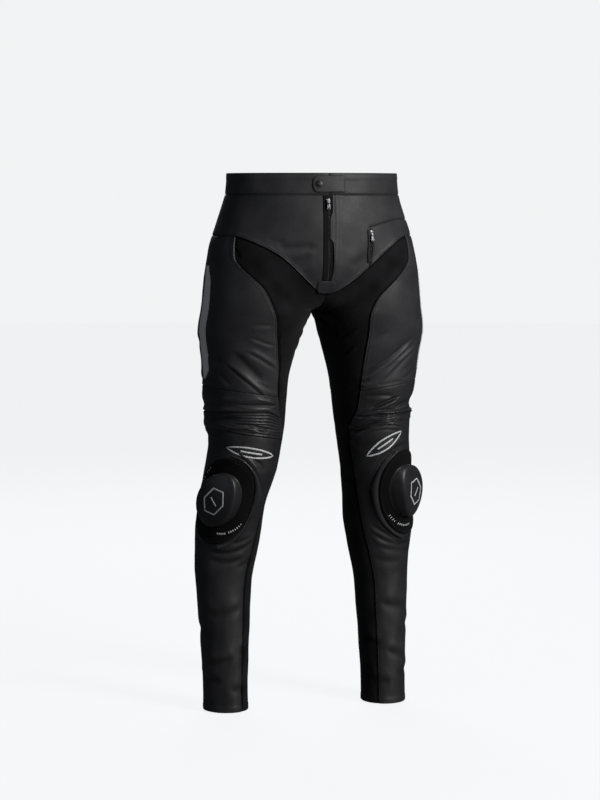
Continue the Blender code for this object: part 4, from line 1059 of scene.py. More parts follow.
def napped_finish():
    """Hook-and-loop: a dense nap of loops, with painted shade between them."""
    b = Board("hook_and_loop", Specular_IOR_Level=0.15, Sheen_Weight=0.03, Sheen_Roughness=0.6)
    place = b.place()
    loops = b.cells(b.warped(place, 700.0, 0.0008), 1100.0)
    rows = b.cells(place, 430.0, "DISTANCE_TO_EDGE", 0.35)
    broad = b.noise(place, 45.0)
    # Darker between the loops: painted shade.
    tone = ((1.0 - loops) * 0.5 + broad * 0.4 + rows * 0.2).clamped()
    colour = b.mixed(tone, (0.0010, 0.0010, 0.0012), (0.0048, 0.0048, 0.0054))
    return b.finish(colour, 0.92 + (broad - 0.5) * 0.08, (1.0 - loops) * 0.8 + rows * 0.5, 0.0006, 0.8)


def plastic_finish():
    """Moulded slider: satin skin, faint scuffs down its face."""
    b = Board("slider_plastic", Specular_IOR_Level=0.5)
    place = b.place()
    skin_noise = b.noise(place, 1500.0, 2.0)
    broad = b.noise(place, 40.0)
    stretched = b.node("ShaderNodeMapping", {}, {"Vector": place, "Scale": (900.0, 900.0, 60.0)}).wire()
    scuffs = b.noise(stretched, 1.0, 2.0)
    lines = ((scuffs - 0.62) * 5.0).clamped()
    colour = b.mixed((broad * 0.6 + lines * 0.3).clamped(),
                     (0.018, 0.018, 0.020), (0.033, 0.033, 0.036))
    roughness = (0.40 + (broad - 0.5) * 0.12 + lines * 0.10).clamped()
    return b.finish(colour, roughness, skin_noise * 0.3 - lines * 0.2, 0.0001, 0.4)


def print_finish(name, colour):
    """Printed film: off-white, slightly uneven, finely cracked."""
    b = Board(name, Specular_IOR_Level=0.4)
    place = b.place()
    broad, fine = b.noise(place, 120.0), b.noise(place, 1400.0)
    shade = b.mixed((broad * 0.7 + fine * 0.3).clamped(), tuple(c * 0.86 for c in colour), colour)
    return b.finish(shade, 0.42 + (broad - 0.5) * 0.15, fine, 0.00005, 0.4)


def thread_finish():
    """Waxed thread: a twist along each stitch."""
    b = Board("thread", Specular_IOR_Level=0.5)
    place = b.place()
    twist, broad = b.noise(place, 3600.0, 1.0), b.noise(place, 60.0)
    colour = b.mixed((twist * 0.5 + broad * 0.5).clamped(),
                     (0.020, 0.020, 0.022), (0.050, 0.050, 0.054))
    return b.finish(colour, 0.45 + (twist - 0.5) * 0.2, twist, 0.0001, 0.6)


def tape_finish():
    """Woven zip tape: fine herringbone from two crossed waves."""
    b = Board("zip_tape", Specular_IOR_Level=0.25, Sheen_Weight=0.08)
    place = b.place()
    weave = b.noise(place, 1700.0, 1.0)
    rows = b.node("ShaderNodeTexWave", {"bands_direction": "Z"}, {
        "Vector": place, "Scale": 420.0, "Distortion": 2.0, "Detail": 1.0}).wire("Fac")
    colour = b.mixed((rows * 0.6 + weave * 0.4).clamped(),
                     (0.0012, 0.0012, 0.0015), (0.0045, 0.0045, 0.0052))
    return b.finish(colour, 0.80 + (weave - 0.5) * 0.1, rows * 0.6 + weave * 0.4, 0.00015, 0.6)


def metal_finish(name, colour, rough):
    """Cast zip metal: brushed a little, darker in the pits, rubbed bright."""
    b = Board(name, Metallic=0.95)
    place = b.place()
    fine, broad = b.noise(place, 2600.0, 2.0), b.noise(place, 260.0)
    shade = b.mixed((broad * 0.7 + fine * 0.3).clamped(), tuple(0.55 * c for c in colour), colour)
    roughness = (rough + (fine - 0.5) * 0.2 + (broad - 0.5) * 0.15).clamped()
    return b.finish(shade, roughness, fine, 0.00006, 0.5)


LEATHER = leather_finish("black_leather", (0.0225, 0.0225, 0.0250), (0.0430, 0.0430, 0.0470), 0.57, 0.46)
TRIM_LEATHER = leather_finish("trim_leather", (0.0220, 0.0220, 0.0245), (0.0440, 0.0440, 0.0480), 0.34, 0.60)
# Knee leather: the black leather darkened as painted shade for the ribs, knees and shins, and a little less
# rough.
SHADED_KNEE_LEATHER = leather_finish("knee_leather_painted_shade", (0.0125, 0.0125, 0.0142), (0.0265, 0.0265, 0.0293), 0.53, 0.46)
PALE_LEATHER = leather_finish("pale_leather", (0.80, 0.81, 0.82), (0.93, 0.94, 0.95), 0.45, 0.45)
STRETCH = stretch_finish()
LINING = lining_finish()
NAPPED = napped_finish()
PLASTIC = plastic_finish()
WHITE_PRINT = print_finish("white_print", (0.82, 0.83, 0.84))
THREAD = thread_finish()
PALE_THREAD = print_finish("pale_thread", (0.60, 0.61, 0.62))
TAPE = tape_finish()
ZIP_METAL = metal_finish("zip_metal", (0.34, 0.34, 0.36), 0.32)
DARK_METAL = metal_finish("dark_metal", (0.095, 0.095, 0.105), 0.42)


def add(piece, node, body_name="garment"):
    """Rides the piece on its body, puts it in its node's place, if it has one."""
    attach(piece, body_name)
    if node:
        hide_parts(node)
    return piece


def noted(node, wide, long, area):
    """Hands back the width, length and area of a cut."""
    return wide, long, area


def cut_of(points, cells):
    """Width, length and area of a panel laid flat, from its grid lines and cells."""
    a, b, c, d = points[:-1, :-1], points[1:, :-1], points[1:, 1:], points[:-1, 1:]
    area = np.linalg.norm(np.cross(c - a, d - b), axis=-1)[cells].sum() / 2
    across = np.linalg.norm(np.diff(points, axis=1), axis=-1)
    down = np.linalg.norm(np.diff(points, axis=0), axis=-1)
    wide = (across[:-1] * cells).sum(1).max()
    long = (down[:, :-1] * cells).sum(0).max()
    return float(wide), float(long), float(area)


def cloth_panel(node, side, u, z, cells, edges, stretch=False, raised=0.0, leather=LEATHER):
    """A sewn panel as a thin shell on the worn surface; returns its outer sheet and normals.

    outer = body + normal (relief + raised + sum of the seam forms at the edges - sink), and the inner
    sheet lies one wall further in and leaves out the seam forms.
    """
    base, normal = body(side, u, z), outward(side, u, z)
    worn = relief(side, u, z) + raised - (STRETCH_SINK if stretch else 0.0)
    sewn = sum(form(distance) for form, distance in edges)
    wall = STRETCH_WALL if stretch else LEATHER_WALL
    outer = base + normal * (worn + sewn)[..., None]
    inner = base + normal * (worn - wall + np.minimum(sewn, 0.0))[..., None]
    for sheet in (outer, inner):
        sheet[..., 0] = side * np.maximum(side * sheet[..., 0], CENTRE_CLEAR)
    outer, inner = drawn_in(outer, cells), drawn_in(inner, cells)
    uv = np.stack([lengths(base, 1), -lengths(base, 0)], -1)
    # Ridge value: 0.5 on the plain surface, more on raised parts, less in creases and sunk seams; the finishes
    # paint shade in the low parts and wear with highlight on the raised ones.
    bumps = worn + sewn + fold(side, u, z)
    ridge = np.clip(0.5 + bumps / 0.0030, 0.0, 1.0)
    finish = STRETCH if stretch else leather
    piece = shell(node + "_cloth", outer, inner, cells, [finish, LINING], uv=uv, values=ridge)
    add(piece, node)
    wide, long, area = noted(node, *cut_of(base, cells))
    min(area, wide * long)
    return outer, sheet_normals(outer, normal)


def seams(near, **forms):
    """Pairs of a seam form and the distance from its edge, for cloth_panel."""
    return [(form, near[edge]) for edge, form in forms.items()]


def edge_distances(points):
    down, across = lengths(points, 0), lengths(points, 1)
    return {"top": down, "bottom": down[-1:] - down, "left": across, "right": across[:, -1:] - across}


def side_front(u, z, edge):
    """Left leather outside the pocket line; its lower edge laps the stretch cloth up to a column."""
    points = body(1, u, z)
    near = edge_distances(points)
    on_stretch = np.indices(points.shape[:2])[1] <= edge
    sheet, facing = cloth_panel(
        "left_side_front_panel", 1, u, z, whole(points),
        [*seams(near, top=joined, left=joined, right=joined),
         (lapped, np.where(on_stretch, near["bottom"], 1.0)),
         (joined, np.where(on_stretch, 1.0, near["bottom"]))])
    stitching("left_side_front_panel_thread", [
        line_beside(sheet, facing, "bottom", LAP_THREAD, 2),
        line_beside(sheet, facing, "left", SEAM_THREAD, 4, -4)], THREAD)


def upper_panels(side):
    """Front, side front, inner thigh, thigh and seat of one half, on one grid, and their threads."""
    u, z, at = upper_grid(side)
    name = word(side)
    v, yoke, pocket, edge, back = at["v"], at["yoke"], at["pocket"], at["edge"], at["back"]

    rows, cols = slice(0, v + 1), slice(0, back + 1)
    points = body(side, u[rows, cols], z[rows, cols])
    near = edge_distances(points)
    i, j = np.indices((v, back))
    cells = (j < pocket) | (i < yoke) | (side < 0)
    i, j = np.indices(points.shape[:2])
    last = pocket if side > 0 else edge
    lap = (lapped, np.where(j <= last, near["bottom"], 1.0))
    if side > 0:
        right = np.abs(near["left"] - near["left"][:, pocket:pocket + 1])
        under = np.abs(near["top"] - near["top"][yoke:yoke + 1])
        rest = np.where(j <= pocket, np.where(i >= yoke, right, np.hypot(right, under)), under)
    else:
        rest = np.where(j <= edge, 1.0, near["bottom"])
    sheet, facing = cloth_panel(
        name + "_front_panel", side, u[rows, cols], z[rows, cols], cells,
        [*seams(near, top=joined, left=joined, right=joined), lap, (joined, rest)])
    threads = [
        line_beside(sheet[:, :last + 1], facing[:, :last + 1], "bottom", LAP_THREAD, 2),
        line_beside(sheet[:yoke + 1], facing[:yoke + 1], "top", SEAM_THREAD, 8)]
    if side > 0:
        over = slice(None, yoke + 1), slice(pocket, None)
        threads.append(line_beside(sheet[over], facing[over], "bottom", SEAM_THREAD, 3))
    stitching(name + "_front_panel_thread", threads, THREAD)
    if side > 0:
        side_front(u[yoke:v + 1, pocket:back + 1], z[yoke:v + 1, pocket:back + 1], edge - pocket)

    rows, cols = slice(v, None), slice(0, edge + 1)
    points = body(side, u[rows, cols], z[rows, cols])
    near = edge_distances(points)
    low = z[rows, cols]
    wide = GAP_WIDTH + GAP_WAVER * np.sin(210 * low) * np.sin(97 * low + 1)
    # The sunk gap lowers the ridge value, so the stretch finish paints it nearly black as shade.
    gape = (-GAP_DEPTH * eased((wide - near["right"]) / 0.003)
            * eased((GAP_TOP - low) / 0.02) * (side < 0))
    cloth_panel(
        name + "_inner_thigh_panel", side, u[rows, cols], z[rows, cols], whole(points),
        seams(near, top=tucked, right=tucked),
        stretch=True, raised=gape)

    rows, cols = slice(v, None), slice(edge, back + 1)
    points = body(side, u[rows, cols], z[rows, cols])
    near = edge_distances(points)
    sheet, facing = cloth_panel(
        name + "_thigh_panel", side, u[rows, cols], z[rows, cols], whole(points),
        seams(near, top=joined, left=lapped, right=joined, bottom=joined))
    stitching(name + "_thigh_panel_thread", [
        line_beside(sheet, facing, "left", LAP_THREAD, 4, -4),
        line_beside(sheet, facing, "bottom", SEAM_THREAD, 4),
        line_beside(sheet, facing, "right", SIDE_THREAD, 4, -4),
        line_beside(sheet, facing, "top", SEAM_THREAD, 4)], THREAD)

    rows, cols = slice(0, None), slice(back, None)
    points = body(side, u[rows, cols], z[rows, cols])
    near = edge_distances(points)
    sheet, facing = cloth_panel(
        name + "_seat_panel", side, u[rows, cols], z[rows, cols], whole(points),
        seams(near, top=joined, left=joined, right=joined, bottom=joined))
    stitching(name + "_seat_panel_thread", [
        line_beside(sheet, facing, "left", SIDE_THREAD, 4, -4),
        line_beside(sheet[:v + 30], facing[:v + 30], "right", SIDE_THREAD, 4),
        line_beside(sheet, facing, "bottom", SEAM_THREAD, 4, -4)], THREAD)


def waistband(side):
    """Leather band round one half of the waist, turned at its top edge."""
    front_t = spaced(FRONT_LENGTH, GRID_STEP)
    outer_t, back_t = spaced(OUTER_LENGTH, GRID_STEP)[1:], spaced(BACK_LENGTH, BACK_STEP)[1:]
    u_line = ring_columns(V_TABLE[-1][0], front_t, outer_t, back_t)[0]
    z_line = WAIST_TOP + (BAND_SEAM - WAIST_TOP) * spaced(WAIST_TOP - BAND_SEAM, BAND_ROW)
    u, z = np.meshgrid(u_line, z_line)
    near = edge_distances(body(side, u, z))
    sheet, facing = cloth_panel(
        word(side) + "_waistband", side, u, z, whole(u),
        seams(near, top=turned, bottom=joined, left=joined, right=joined))
    stitching(word(side) + "_waistband_thread", [
        line_beside(sheet, facing, "top", 0.0035, 3, -3),
        line_beside(sheet, facing, "bottom", 0.0030, 3, -3)], THREAD)


def knee_accordion(side):
    """Ribbed insert above the knee: a plain band, then eight pleats."""
    down, across = spaced(KNEE_LENGTH, RIB_ROW), spaced(ACCORDION_AROUND, RIB_COLUMN)
    u, z = lower_strip(side, knee_seam, rib_end, down, stretch_edge, back_edge, across)
    near = edge_distances(body(side, u, z))
    cloth_panel(
        word(side) + "_knee_accordion", side, u, z, whole(u),
        seams(near, top=joined, bottom=flat_edge, left=lapped, right=joined),
        raised=ribs(side, u, z), leather=SHADED_KNEE_LEATHER)


def shin_panel(side):
    """Leather knee and shin down to the hem."""
    down, across = spaced(LEG_LENGTH, SHIN_STEP), spaced(SHIN_AROUND, SHIN_STEP)
    u, z = lower_strip(side, rib_end, hem_line, down, stretch_edge, back_edge, across)
    near = edge_distances(body(side, u, z))
    sheet, facing = cloth_panel(
        word(side) + "_shin_panel", side, u, z, whole(u),
        seams(near, top=joined, bottom=turned, left=joined, right=joined),
        raised=trim_seam(side, u, z), leather=SHADED_KNEE_LEATHER)
    stitching(word(side) + "_shin_panel_thread", [
        line_beside(sheet, facing, "left", SEAM_THREAD, 4, -4),
        line_beside(sheet, facing, "right", SEAM_THREAD, 4, -4),
        line_beside(sheet, facing, "bottom", HEM_THREAD, 2, -2)], THREAD)


def calf_panel(side):
    """Stretch cloth from the back seam round the calf to the inner shin."""
    above, below = spaced(KNEE_LENGTH, KNEE_ROW), spaced(LEG_LENGTH, CALF_STEP)
    across = spaced(CALF_AROUND, CALF_STEP)
    knee = lower_strip(side, knee_seam, rib_end, above, back_edge, inner_edge_round, across)
    shin = lower_strip(side, rib_end, hem_line, below, back_edge, inner_edge_round, across)
    u, z = (np.concatenate([first, second[1:]]) for first, second in zip(knee, shin))
    near = edge_distances(body(side, u, z))
    cloth_panel(
        word(side) + "_calf_panel", side, u, z, whole(u),
        seams(near, top=flat_edge, bottom=turned, left=tucked, right=tucked),
        stretch=True)


# Pieces laid on the panels

def laid_sheet(node, low, high, finish, rests_on):
    """A flat piece with its own thickness, resting on a panel."""
    piece = add(shell(node + "_piece", high, low, whole(low), [finish, finish],
                      uv=np.stack([lengths(high, 1), -lengths(high, 0)], -1),
                      values=np.full(high.shape[:2], 0.55)), node)
    wide, long, area = noted(node, *cut_of(high, whole(low)))
    min(area, wide * long)


def cushion_edge(share, roll):
    """Rounded edge: 0 at the rim, 1 from a distance of roll inward, as a quarter circle."""
    return np.sqrt(np.clip(1 - (1 - np.clip(share / roll, 0.0, 1.0)) ** 2, 0.0, 1.0))


def closed_rings(name, rings, bottom, top, finishes):
    """Closed body from rings of points, with a middle point at each end."""
    count = rings.shape[1]
    points = np.concatenate([rings.reshape(-1, 3), [bottom, top]])
    k = np.arange(count)
    after = (k + 1) % count
    quads = [np.stack([row + k, row + after, row + count + after, row + count + k], -1)
             for row in count * np.arange(len(rings) - 1)]
    last = (len(rings) - 1) * count
    fans = [np.stack([after, k, np.full(count, len(points) - 2)], -1),
            np.stack([last + k, last + after, np.full(count, len(points) - 1)], -1)]
    faces = [np.concatenate(quads), np.concatenate(fans)]
    middle = points[:-2].mean(0)
    corner = points[faces[0]]
    facing = np.cross(corner[:, 2] - corner[:, 0], corner[:, 3] - corner[:, 1])
    if (facing * (corner.mean(1) - middle)).sum() < 0:
        faces = [f[:, ::-1] for f in faces]
    return mesh_piece(name, points, faces, finishes, sharp=60.0)


def knee_rise(side):
    return LEFT_KNEE_RISE if side > 0 else 0.0


def base_place(side, reach, turn):
    """u and z on the slider base: an ellipse of the given reach, 1 at its edge."""
    return (BASE_U + BASE_HALF_U * reach * np.cos(turn),
            BASE_Z + knee_rise(side) + BASE_HALF_Z * reach * np.sin(turn))


def slider_base(side):
    """Napped disc on the knee, bound at its edge."""
    radii = np.concatenate([np.linspace(0.04, 0.90, 26), [0.93, 0.955, 0.97, 0.985, 0.995, 1.0]])
    turn = full_turn(128)[None, :]
    reach = radii[:, None]
    u, z = base_place(side, reach, turn)
    bound = 0.0006 * bell(reach - 0.962, 0.022)
    rise = BASE_WALL * (0.35 + 0.65 * cushion_edge(1 - reach, 0.025)) + bound
    high, low = skin(side, u, z, LAY_CLEAR + rise), skin(side, u, z, LAY_CLEAR)
    middle_u, middle_z = base_place(side, 0.0, 0.0)
    ends = [skin(side, np.array(middle_u), np.array(middle_z), lift)
            for lift in (LAY_CLEAR, LAY_CLEAR + BASE_WALL)]
    rings = np.concatenate([low, high[::-1]])
    piece = closed_rings(word(side) + "_slider_base_piece", rings, ends[0], ends[1], [NAPPED])
    add(piece, word(side) + "_slider_base")
    disc = np.concatenate([high, high[:, :1]], axis=1)
    area = cut_of(disc, whole(disc))[2]
    wide, long = 2 * BASE_HALF_U * 0.42, 2 * BASE_HALF_Z
    wide = max(wide, area / long * 1.02)
    noted(word(side) + "_slider_base", wide, long, area)
    word(side) + "_shin_panel_cloth"
    line_u, line_z = base_place(side, 0.935, np.linspace(0.0, 2 * pi, 240))
    line = skin(side, line_u, line_z, LAY_CLEAR + BASE_WALL + 0.0003)
    stitching(word(side) + "_slider_base_thread", [(line, outward(side, line_u, line_z))], THREAD)


def trim_edge(side, turn):
    """Reach of the outer edge of the trim at each angle, its corners rounded."""
    angles = np.radians(column(TRIM_TABLE, TRIM_COLUMNS, "turn"))
    reach = column(TRIM_TABLE, TRIM_COLUMNS, word(side))
    return sum(np.interp(turn + step, angles, reach) for step in np.radians((-4, -2, 0, 2, 4))) / 5


def trim_share(turn):
    """0 at both ends of the trim, 1 over its middle."""
    start, end = np.radians(TRIM_TABLE[0][0]), np.radians(TRIM_TABLE[-1][0])
    return eased((turn - start) / 0.25) * eased((end - turn) / 0.25)


def trim_seam(side, u, z):
    """Seam in the shin panel along the outer edge of the trim: a narrow valley, its far side raised."""
    across = (u - BASE_U) / BASE_HALF_U
    upward = (z - BASE_Z - knee_rise(side)) / BASE_HALF_Z
    turn = np.arctan2(upward, across) % (2 * pi)
    away = (np.hypot(across, upward) - trim_edge(side, turn)) * 0.075
    bead, valley = 0.0009 * bell(away - 0.0042, 0.0022), 0.0022 * bell(away - 0.0012, 0.0014)
    return trim_share(turn) * (bead - valley)


def slider_trim(side):
    """Padded leather moulding in a crescent round the inner side of the base."""
    start, end = np.radians(TRIM_TABLE[0][0]), np.radians(TRIM_TABLE[-1][0])
    turn = np.linspace(start, end, 120)[:, None]
    share = shares(ROLLED_ENDS, 0.17, 14)[None, :]
    out = trim_edge(side, turn)
    u, z = base_place(side, TRIM_IN + (out - TRIM_IN) * share, turn)
    crown = (4 * share * (1 - share)) ** 0.6
    rise = 0.0006 + (TRIM_WALL + 0.014 * (out - 1.07)) * crown * (0.35 + 0.65 * trim_share(turn))
    low = skin(side, u, z, LAY_CLEAR)
    high = skin(side, u, z, LAY_CLEAR + rise)
    name = word(side) + "_slider_trim"
    laid_sheet(name, low, high, TRIM_LEATHER, word(side) + "_shin_panel_cloth")
    line_turn = np.linspace(start + 0.1, end - 0.1, 200)
    line_u, line_z = base_place(side, trim_edge(side, line_turn) + 0.062, line_turn)
    line = skin(side, line_u, line_z, 0.0008)
    stitching(name + "_thread", [(line, outward(side, line_u, line_z))], THREAD)


def puck_axes(side):
    centre_z = PUCK_Z + knee_rise(side)
    middle = body(side, PUCK_U, centre_z)
    axis = outward(side, np.array(PUCK_U), np.array(centre_z))
    across = unit(np.cross(axis, (0.0, 0.0, 1.0)))
    return middle, axis, across, np.cross(across, axis)


def puck_point(side, x, y, height):
    """A point of the slider: x and y from -1 to 1 on its outline, height 0 at the base, 1 at the face.

    The face is PUCK_HEIGHT above the middle less (a^2 + b^2) / (2 face radius), a and b across and up.
    """
    middle, axis, across, upright = puck_axes(side)
    u, z = PUCK_U + PUCK_HALF_U * x, PUCK_Z + knee_rise(side) + PUCK_HALF_Z * y
    foot = LAY_CLEAR * 2 + BASE_WALL
    low = skin(side, u, z, foot)
    offset = low - middle
    a, b, level = offset @ across, offset @ upright, offset @ axis
    face = PUCK_HEIGHT + foot - (a * a + b * b) / (2 * PUCK_FACE_RADIUS)
    return low + axis * ((face - level) * height)[..., None]


def knee_slider(side):
    """Thick puck: foot, groove, wall curving over to a nearly flat face."""
    radii, heights = (column(PUCK_PROFILE, PUCK_COLUMNS, name) for name in ("radius", "height"))
    turn = full_turn(120)[None, :]
    under = np.linspace(0.2, 0.95, 5)
    radii = np.concatenate([under, radii])[:, None]
    heights = np.concatenate([0 * under, heights])[:, None]
    x, y = radii * np.cos(turn) - PUCK_LEAN[word(side)] * (1 - heights), radii * np.sin(turn)
    rings = puck_point(side, x, y, heights + 0 * x)
    ends = [puck_point(side, np.array(0.0), np.array(0.0), np.array(h)) for h in (0.0, 1.0)]
    piece = closed_rings(word(side) + "_knee_slider_piece", rings, ends[0], ends[1], [PLASTIC])
    add(piece, word(side) + "_knee_slider")


def ribbon(points, normal, half, thick, name, finish):
    """A raised printed line: its section is flat with rounded sides, carried along the points."""
    along = np.gradient(points, axis=0)
    across = unit(np.cross(normal, unit(along)))
    share = np.array([-1.0, -0.8, 0.0, 0.8, 1.0])
    rise = thick * np.array([0.3, 1.0, 1.05, 1.0, 0.3])
    half = np.broadcast_to(half, points.shape[:1])[:, None, None]
    flat = points[:, None] + across[:, None] * share[None, :, None] * half
    high = flat + normal[:, None] * rise[None, :, None]
    low = flat - normal[:, None] * thick * 0.6
    add(shell(name, high, low, whole(low), [finish, finish]), None)


def knee_mark(side):
    """Plain printed mark above the knee: a pointed oval outline with a bar in it."""
    start, end = ((0.378, -0.489), (0.142, -0.507)) if side < 0 else ((0.165, -0.512), (0.338, -0.466))
    half = 0.0085 if side < 0 else 0.0095
    t = np.linspace(0.0, 1.0, 90)
    run_u, run_z = (end[0] - start[0]) * GIRTH, end[1] - start[1]
    length = np.hypot(run_u, run_z)
    swing = half * np.sin(pi * t) ** 0.8
    lines = [(t, swing), (t, -swing), (np.linspace(0.30, 0.72, 40), np.zeros(40))]
    for index, (along, aside) in enumerate(lines):
        u = start[0] + (run_u * along - run_z / length * aside) / GIRTH
        z = start[1] + run_z * along + run_u / length * aside
        points, normal = skin(side, u, z, 0.00005), outward(side, u, z)
        width = 0.0015 * np.clip(8 * np.minimum(along, 1 - along) + 0.35, 0.0, 1.0)
        ribbon(points, normal, width, 0.0003, "%s_knee_print_%d" % (word(side), index), WHITE_PRINT)


def slider_mark(side):
    """Plain printed mark on the slider: a six-sided outline with a bar in it."""
    axis = puck_axes(side)[1]
    corner = np.linspace(0.0, 2 * pi, 7) + radians(14)
    x, y = 0.50 * np.cos(corner), 0.50 * np.sin(corner)
    t = np.linspace(-0.02, 1.02, 12)
    lines = [(x[k] + (x[k + 1] - x[k]) * t, y[k] + (y[k + 1] - y[k]) * t) for k in range(6)]
    bar = 0.22 * np.linspace(-1.0, 1.0, 12)
    lines.append((bar * cos(radians(44)), bar * sin(radians(44))))
    for index, (px, py) in enumerate(lines):
        ribbon(puck_point(side, px, py, np.ones(12)), np.tile(axis, (12, 1)), 0.0014, 0.0003,
               "%s_slider_print_%d" % (word(side), index), WHITE_PRINT)


def base_ticks(side):
    """Rows of short printed bars on the base, below and above the slider."""
    shape = ring_shape(((-0.0010, 0.0013, 0.0001, 0.0), (-0.0007, 0.0019, 0.00025, 0.0),
                        (0.0007, 0.0019, 0.00025, 0.0), (0.0010, 0.0013, 0.0001, 0.0)))
    rows = TICK_TABLE[word(side)]
    middle, along, out = [], [], []
    for start, end, first, last, count, gap in rows:
        share = np.linspace(0.0, 1.0, count)
        share = share[np.arange(count) != gap]
        turn, reach = np.radians(start + (end - start) * share), first + (last - first) * share
        u, z = base_place(side, reach, turn)
        ahead_u, ahead_z = base_place(
            side, reach + (last - first) * 0.01, turn + np.radians(end - start) * 0.01)
        lift = LAY_CLEAR + BASE_WALL + 0.0001
        middle.append(skin(side, u, z, lift))
        along.append(skin(side, ahead_u, ahead_z, lift) - middle[-1])
        out.append(outward(side, u, z))
    add(tiles(word(side) + "_base_print", shape, [tube(4)],
              *(np.concatenate(v) for v in (middle, along, out)), [WHITE_PRINT]), None)


def side_stripe(side):
    """Pale leather stripe on the outer thigh with a thread down each edge."""
    z = np.linspace(STRIPE_TABLE[0][0], STRIPE_TABLE[-1][0], 90)
    front, back = (at_height(STRIPE_TABLE, STRIPE_COLUMNS, name, z) for name in ("front", "back"))
    share = shares((0.0, 0.02, 0.06), 0.12, 8)
    u = front[:, None] + (back - front)[:, None] * share[None, :]
    z = np.repeat(z[:, None], share.size, axis=1)
    round_off = cushion_edge(np.minimum(share, 1 - share), 0.06)[None, :]
    ends = cushion_edge(np.minimum(np.linspace(0, 1, 90), np.linspace(1, 0, 90)), 0.012)[:, None]
    low = skin(side, u, z, LAY_CLEAR * 0.4)
    high = skin(side, u, z, LAY_CLEAR + STRIPE_WALL * (0.25 + 0.75 * round_off * ends))
    name = word(side) + "_side_stripe"
    laid_sheet(name, low, high, PALE_LEATHER, word(side) + "_thigh_panel_cloth")
    facing = sheet_normals(high, outward(side, u, z))
    stitching(name + "_thread", [
        line_beside(high, facing, edge, STRIPE_THREAD, 3, -3) for edge in ("left", "right")],
        PALE_THREAD)


# Fly, waist closure and pocket

# Threads of the flap: x, upper end, lower end
FLAP_SEAM = 0.0098
FLAP_THREADS = (
    (FLAP_SEAM, FLY_TOP - 0.003, FLY_END + 0.002),
    (0.0004, -0.064, -0.0975),
    (0.0034, -0.064, -0.0985),
)


def fly():
    """Zip tape, its teeth, the flap that rides over it and the end patch."""
    z = np.linspace(FLY_TOP, FLY_END, 120)[:, None]
    share = np.array([0, 0.03, 0.10, 0.25, 0.40, 0.50, 0.60, 0.75, 0.90, 0.97, 1.0])[None, :]
    x = TAPE_RIGHT + (TAPE_LEFT - TAPE_RIGHT) * share
    low = centre_front(x, z, LAY_CLEAR * 0.4)
    rolled = cushion_edge(np.minimum(share, 1 - share), 0.08)
    high = centre_front(x, z, LAY_CLEAR + TAPE_WALL * (0.4 + 0.6 * rolled))
    laid_sheet("fly_zip_tape", low, high, TAPE, "left_front_panel_cloth")
    zip_teeth("fly_zip_teeth", lambda k: centre_front(TEETH_X + 0 * k, k, LAY_CLEAR + TAPE_WALL),
              lambda k: outward(-1, u_at(-1, abs(TEETH_X) + 0 * k, k), k),
              FLY_TOP - 0.003, FLY_END + 0.001)

    z = np.linspace(FLY_TOP, FLY_END, 150)[:, None]
    edge = softened(FLAP_TABLE, FLAP_COLUMNS, "edge", z, 0.0012)
    share = np.concatenate([[0, 0.012, 0.03, 0.06], np.linspace(0.10, 1.0, 26)])[None, :]
    x = edge + (FLAP_FAR - edge) * share
    over = 1 - eased((x - FLAP_RAMP_START) / (FLAP_RAMP_END - FLAP_RAMP_START))
    lip = x - edge
    gaping = 0.0016 * bell(z + 0.134, 0.022) * bell(lip, 0.0045)
    lift = LAY_CLEAR + (TAPE_WALL + SEAM_GAP + 0.0002) * over + gaping
    thin = 1 - 0.90 * eased((x - 0.0115) / 0.0115)
    wall = FLAP_WALL * (0.35 + 0.65 * cushion_edge(lip, 0.0012)) * thin
    pulled = -0.0004 * bell(x - FLAP_SEAM, 0.0009)
    low = centre_front(x, z, lift * np.maximum(thin, 0.25))
    high = centre_front(x, z, lift * np.maximum(thin, 0.25) + wall + pulled)
    laid_sheet("fly_flap", low, high, LEATHER, "left_front_panel_cloth")
    rows = []
    for where, top, end in FLAP_THREADS:
        line_z = np.linspace(top, end, 120)
        here = np.argmin(np.abs(x - where), axis=1)
        line = followed(-line_z, -z[:, 0], high[np.arange(z.shape[0]), here])
        line[:, 0] = where
        rows.append((line, outward(1, u_at(1, np.abs(where) + 0 * line_z, line_z), line_z)))
    stitching("fly_flap_thread", rows, THREAD)

    share = shares(ROLLED_ENDS, 0.16, 18)[:, None]
    z = PATCH_TOP + (PATCH_END - PATCH_TOP) * share
    widen = 1.0 - 0.35 * (1 - cushion_edge(share, 0.4)) - 0.25 * eased((share - 0.6) / 0.4)
    aside = 2 * shares((0.0, 0.01, 0.03, 0.06), 0.10, 20)[None, :] - 1
    x = PATCH_MIDDLE + PATCH_HALF * widen * aside
    rounded = cushion_edge(1 - np.abs(aside), 0.06) * cushion_edge(np.minimum(share, 1 - share), 0.06)
    low = centre_front(x, z, LAY_CLEAR * 0.4)
    high = centre_front(x, z, LAY_CLEAR + PATCH_WALL * (0.25 + 0.75 * rounded))
    laid_sheet("fly_end_patch", low, high, LEATHER, "left_front_panel_cloth")
    facing = sheet_normals(high, np.array([0.0, -1.0, 0.0]))
    stitching("fly_end_patch_thread", [
        line_beside(high, facing, edge_name, PATCH_THREAD, 4, -4) for edge_name in ALL_EDGES],
        THREAD)


def zip_teeth(name, place, facing, top, end):
    """Two interleaved rows of metal teeth, each a short tapered bar that hooks past the middle."""
    count = int(abs(end - top) / TOOTH_PITCH)
    k = np.arange(count)
    z = top + (end - top) * (k + 0.5) / count
    middle, out = place(z), facing(z)
    down = np.gradient(middle, axis=0)
    shape = ring_shape(((-0.00045, 0.0009, 0.0002, 0.0), (-0.0002, 0.0011, 0.00055, 0.0001),
                        (0.0002, 0.0011, 0.00055, 0.0001), (0.00045, 0.0009, 0.0002, 0.0)))
    across = np.cross(out, unit(down))
    middle = middle + across * (0.00075 * (-1.0) ** k)[:, None] + out * 0.0004
    add(tiles(name, shape, [tube(4)], middle, down, out, [DARK_METAL]), None)


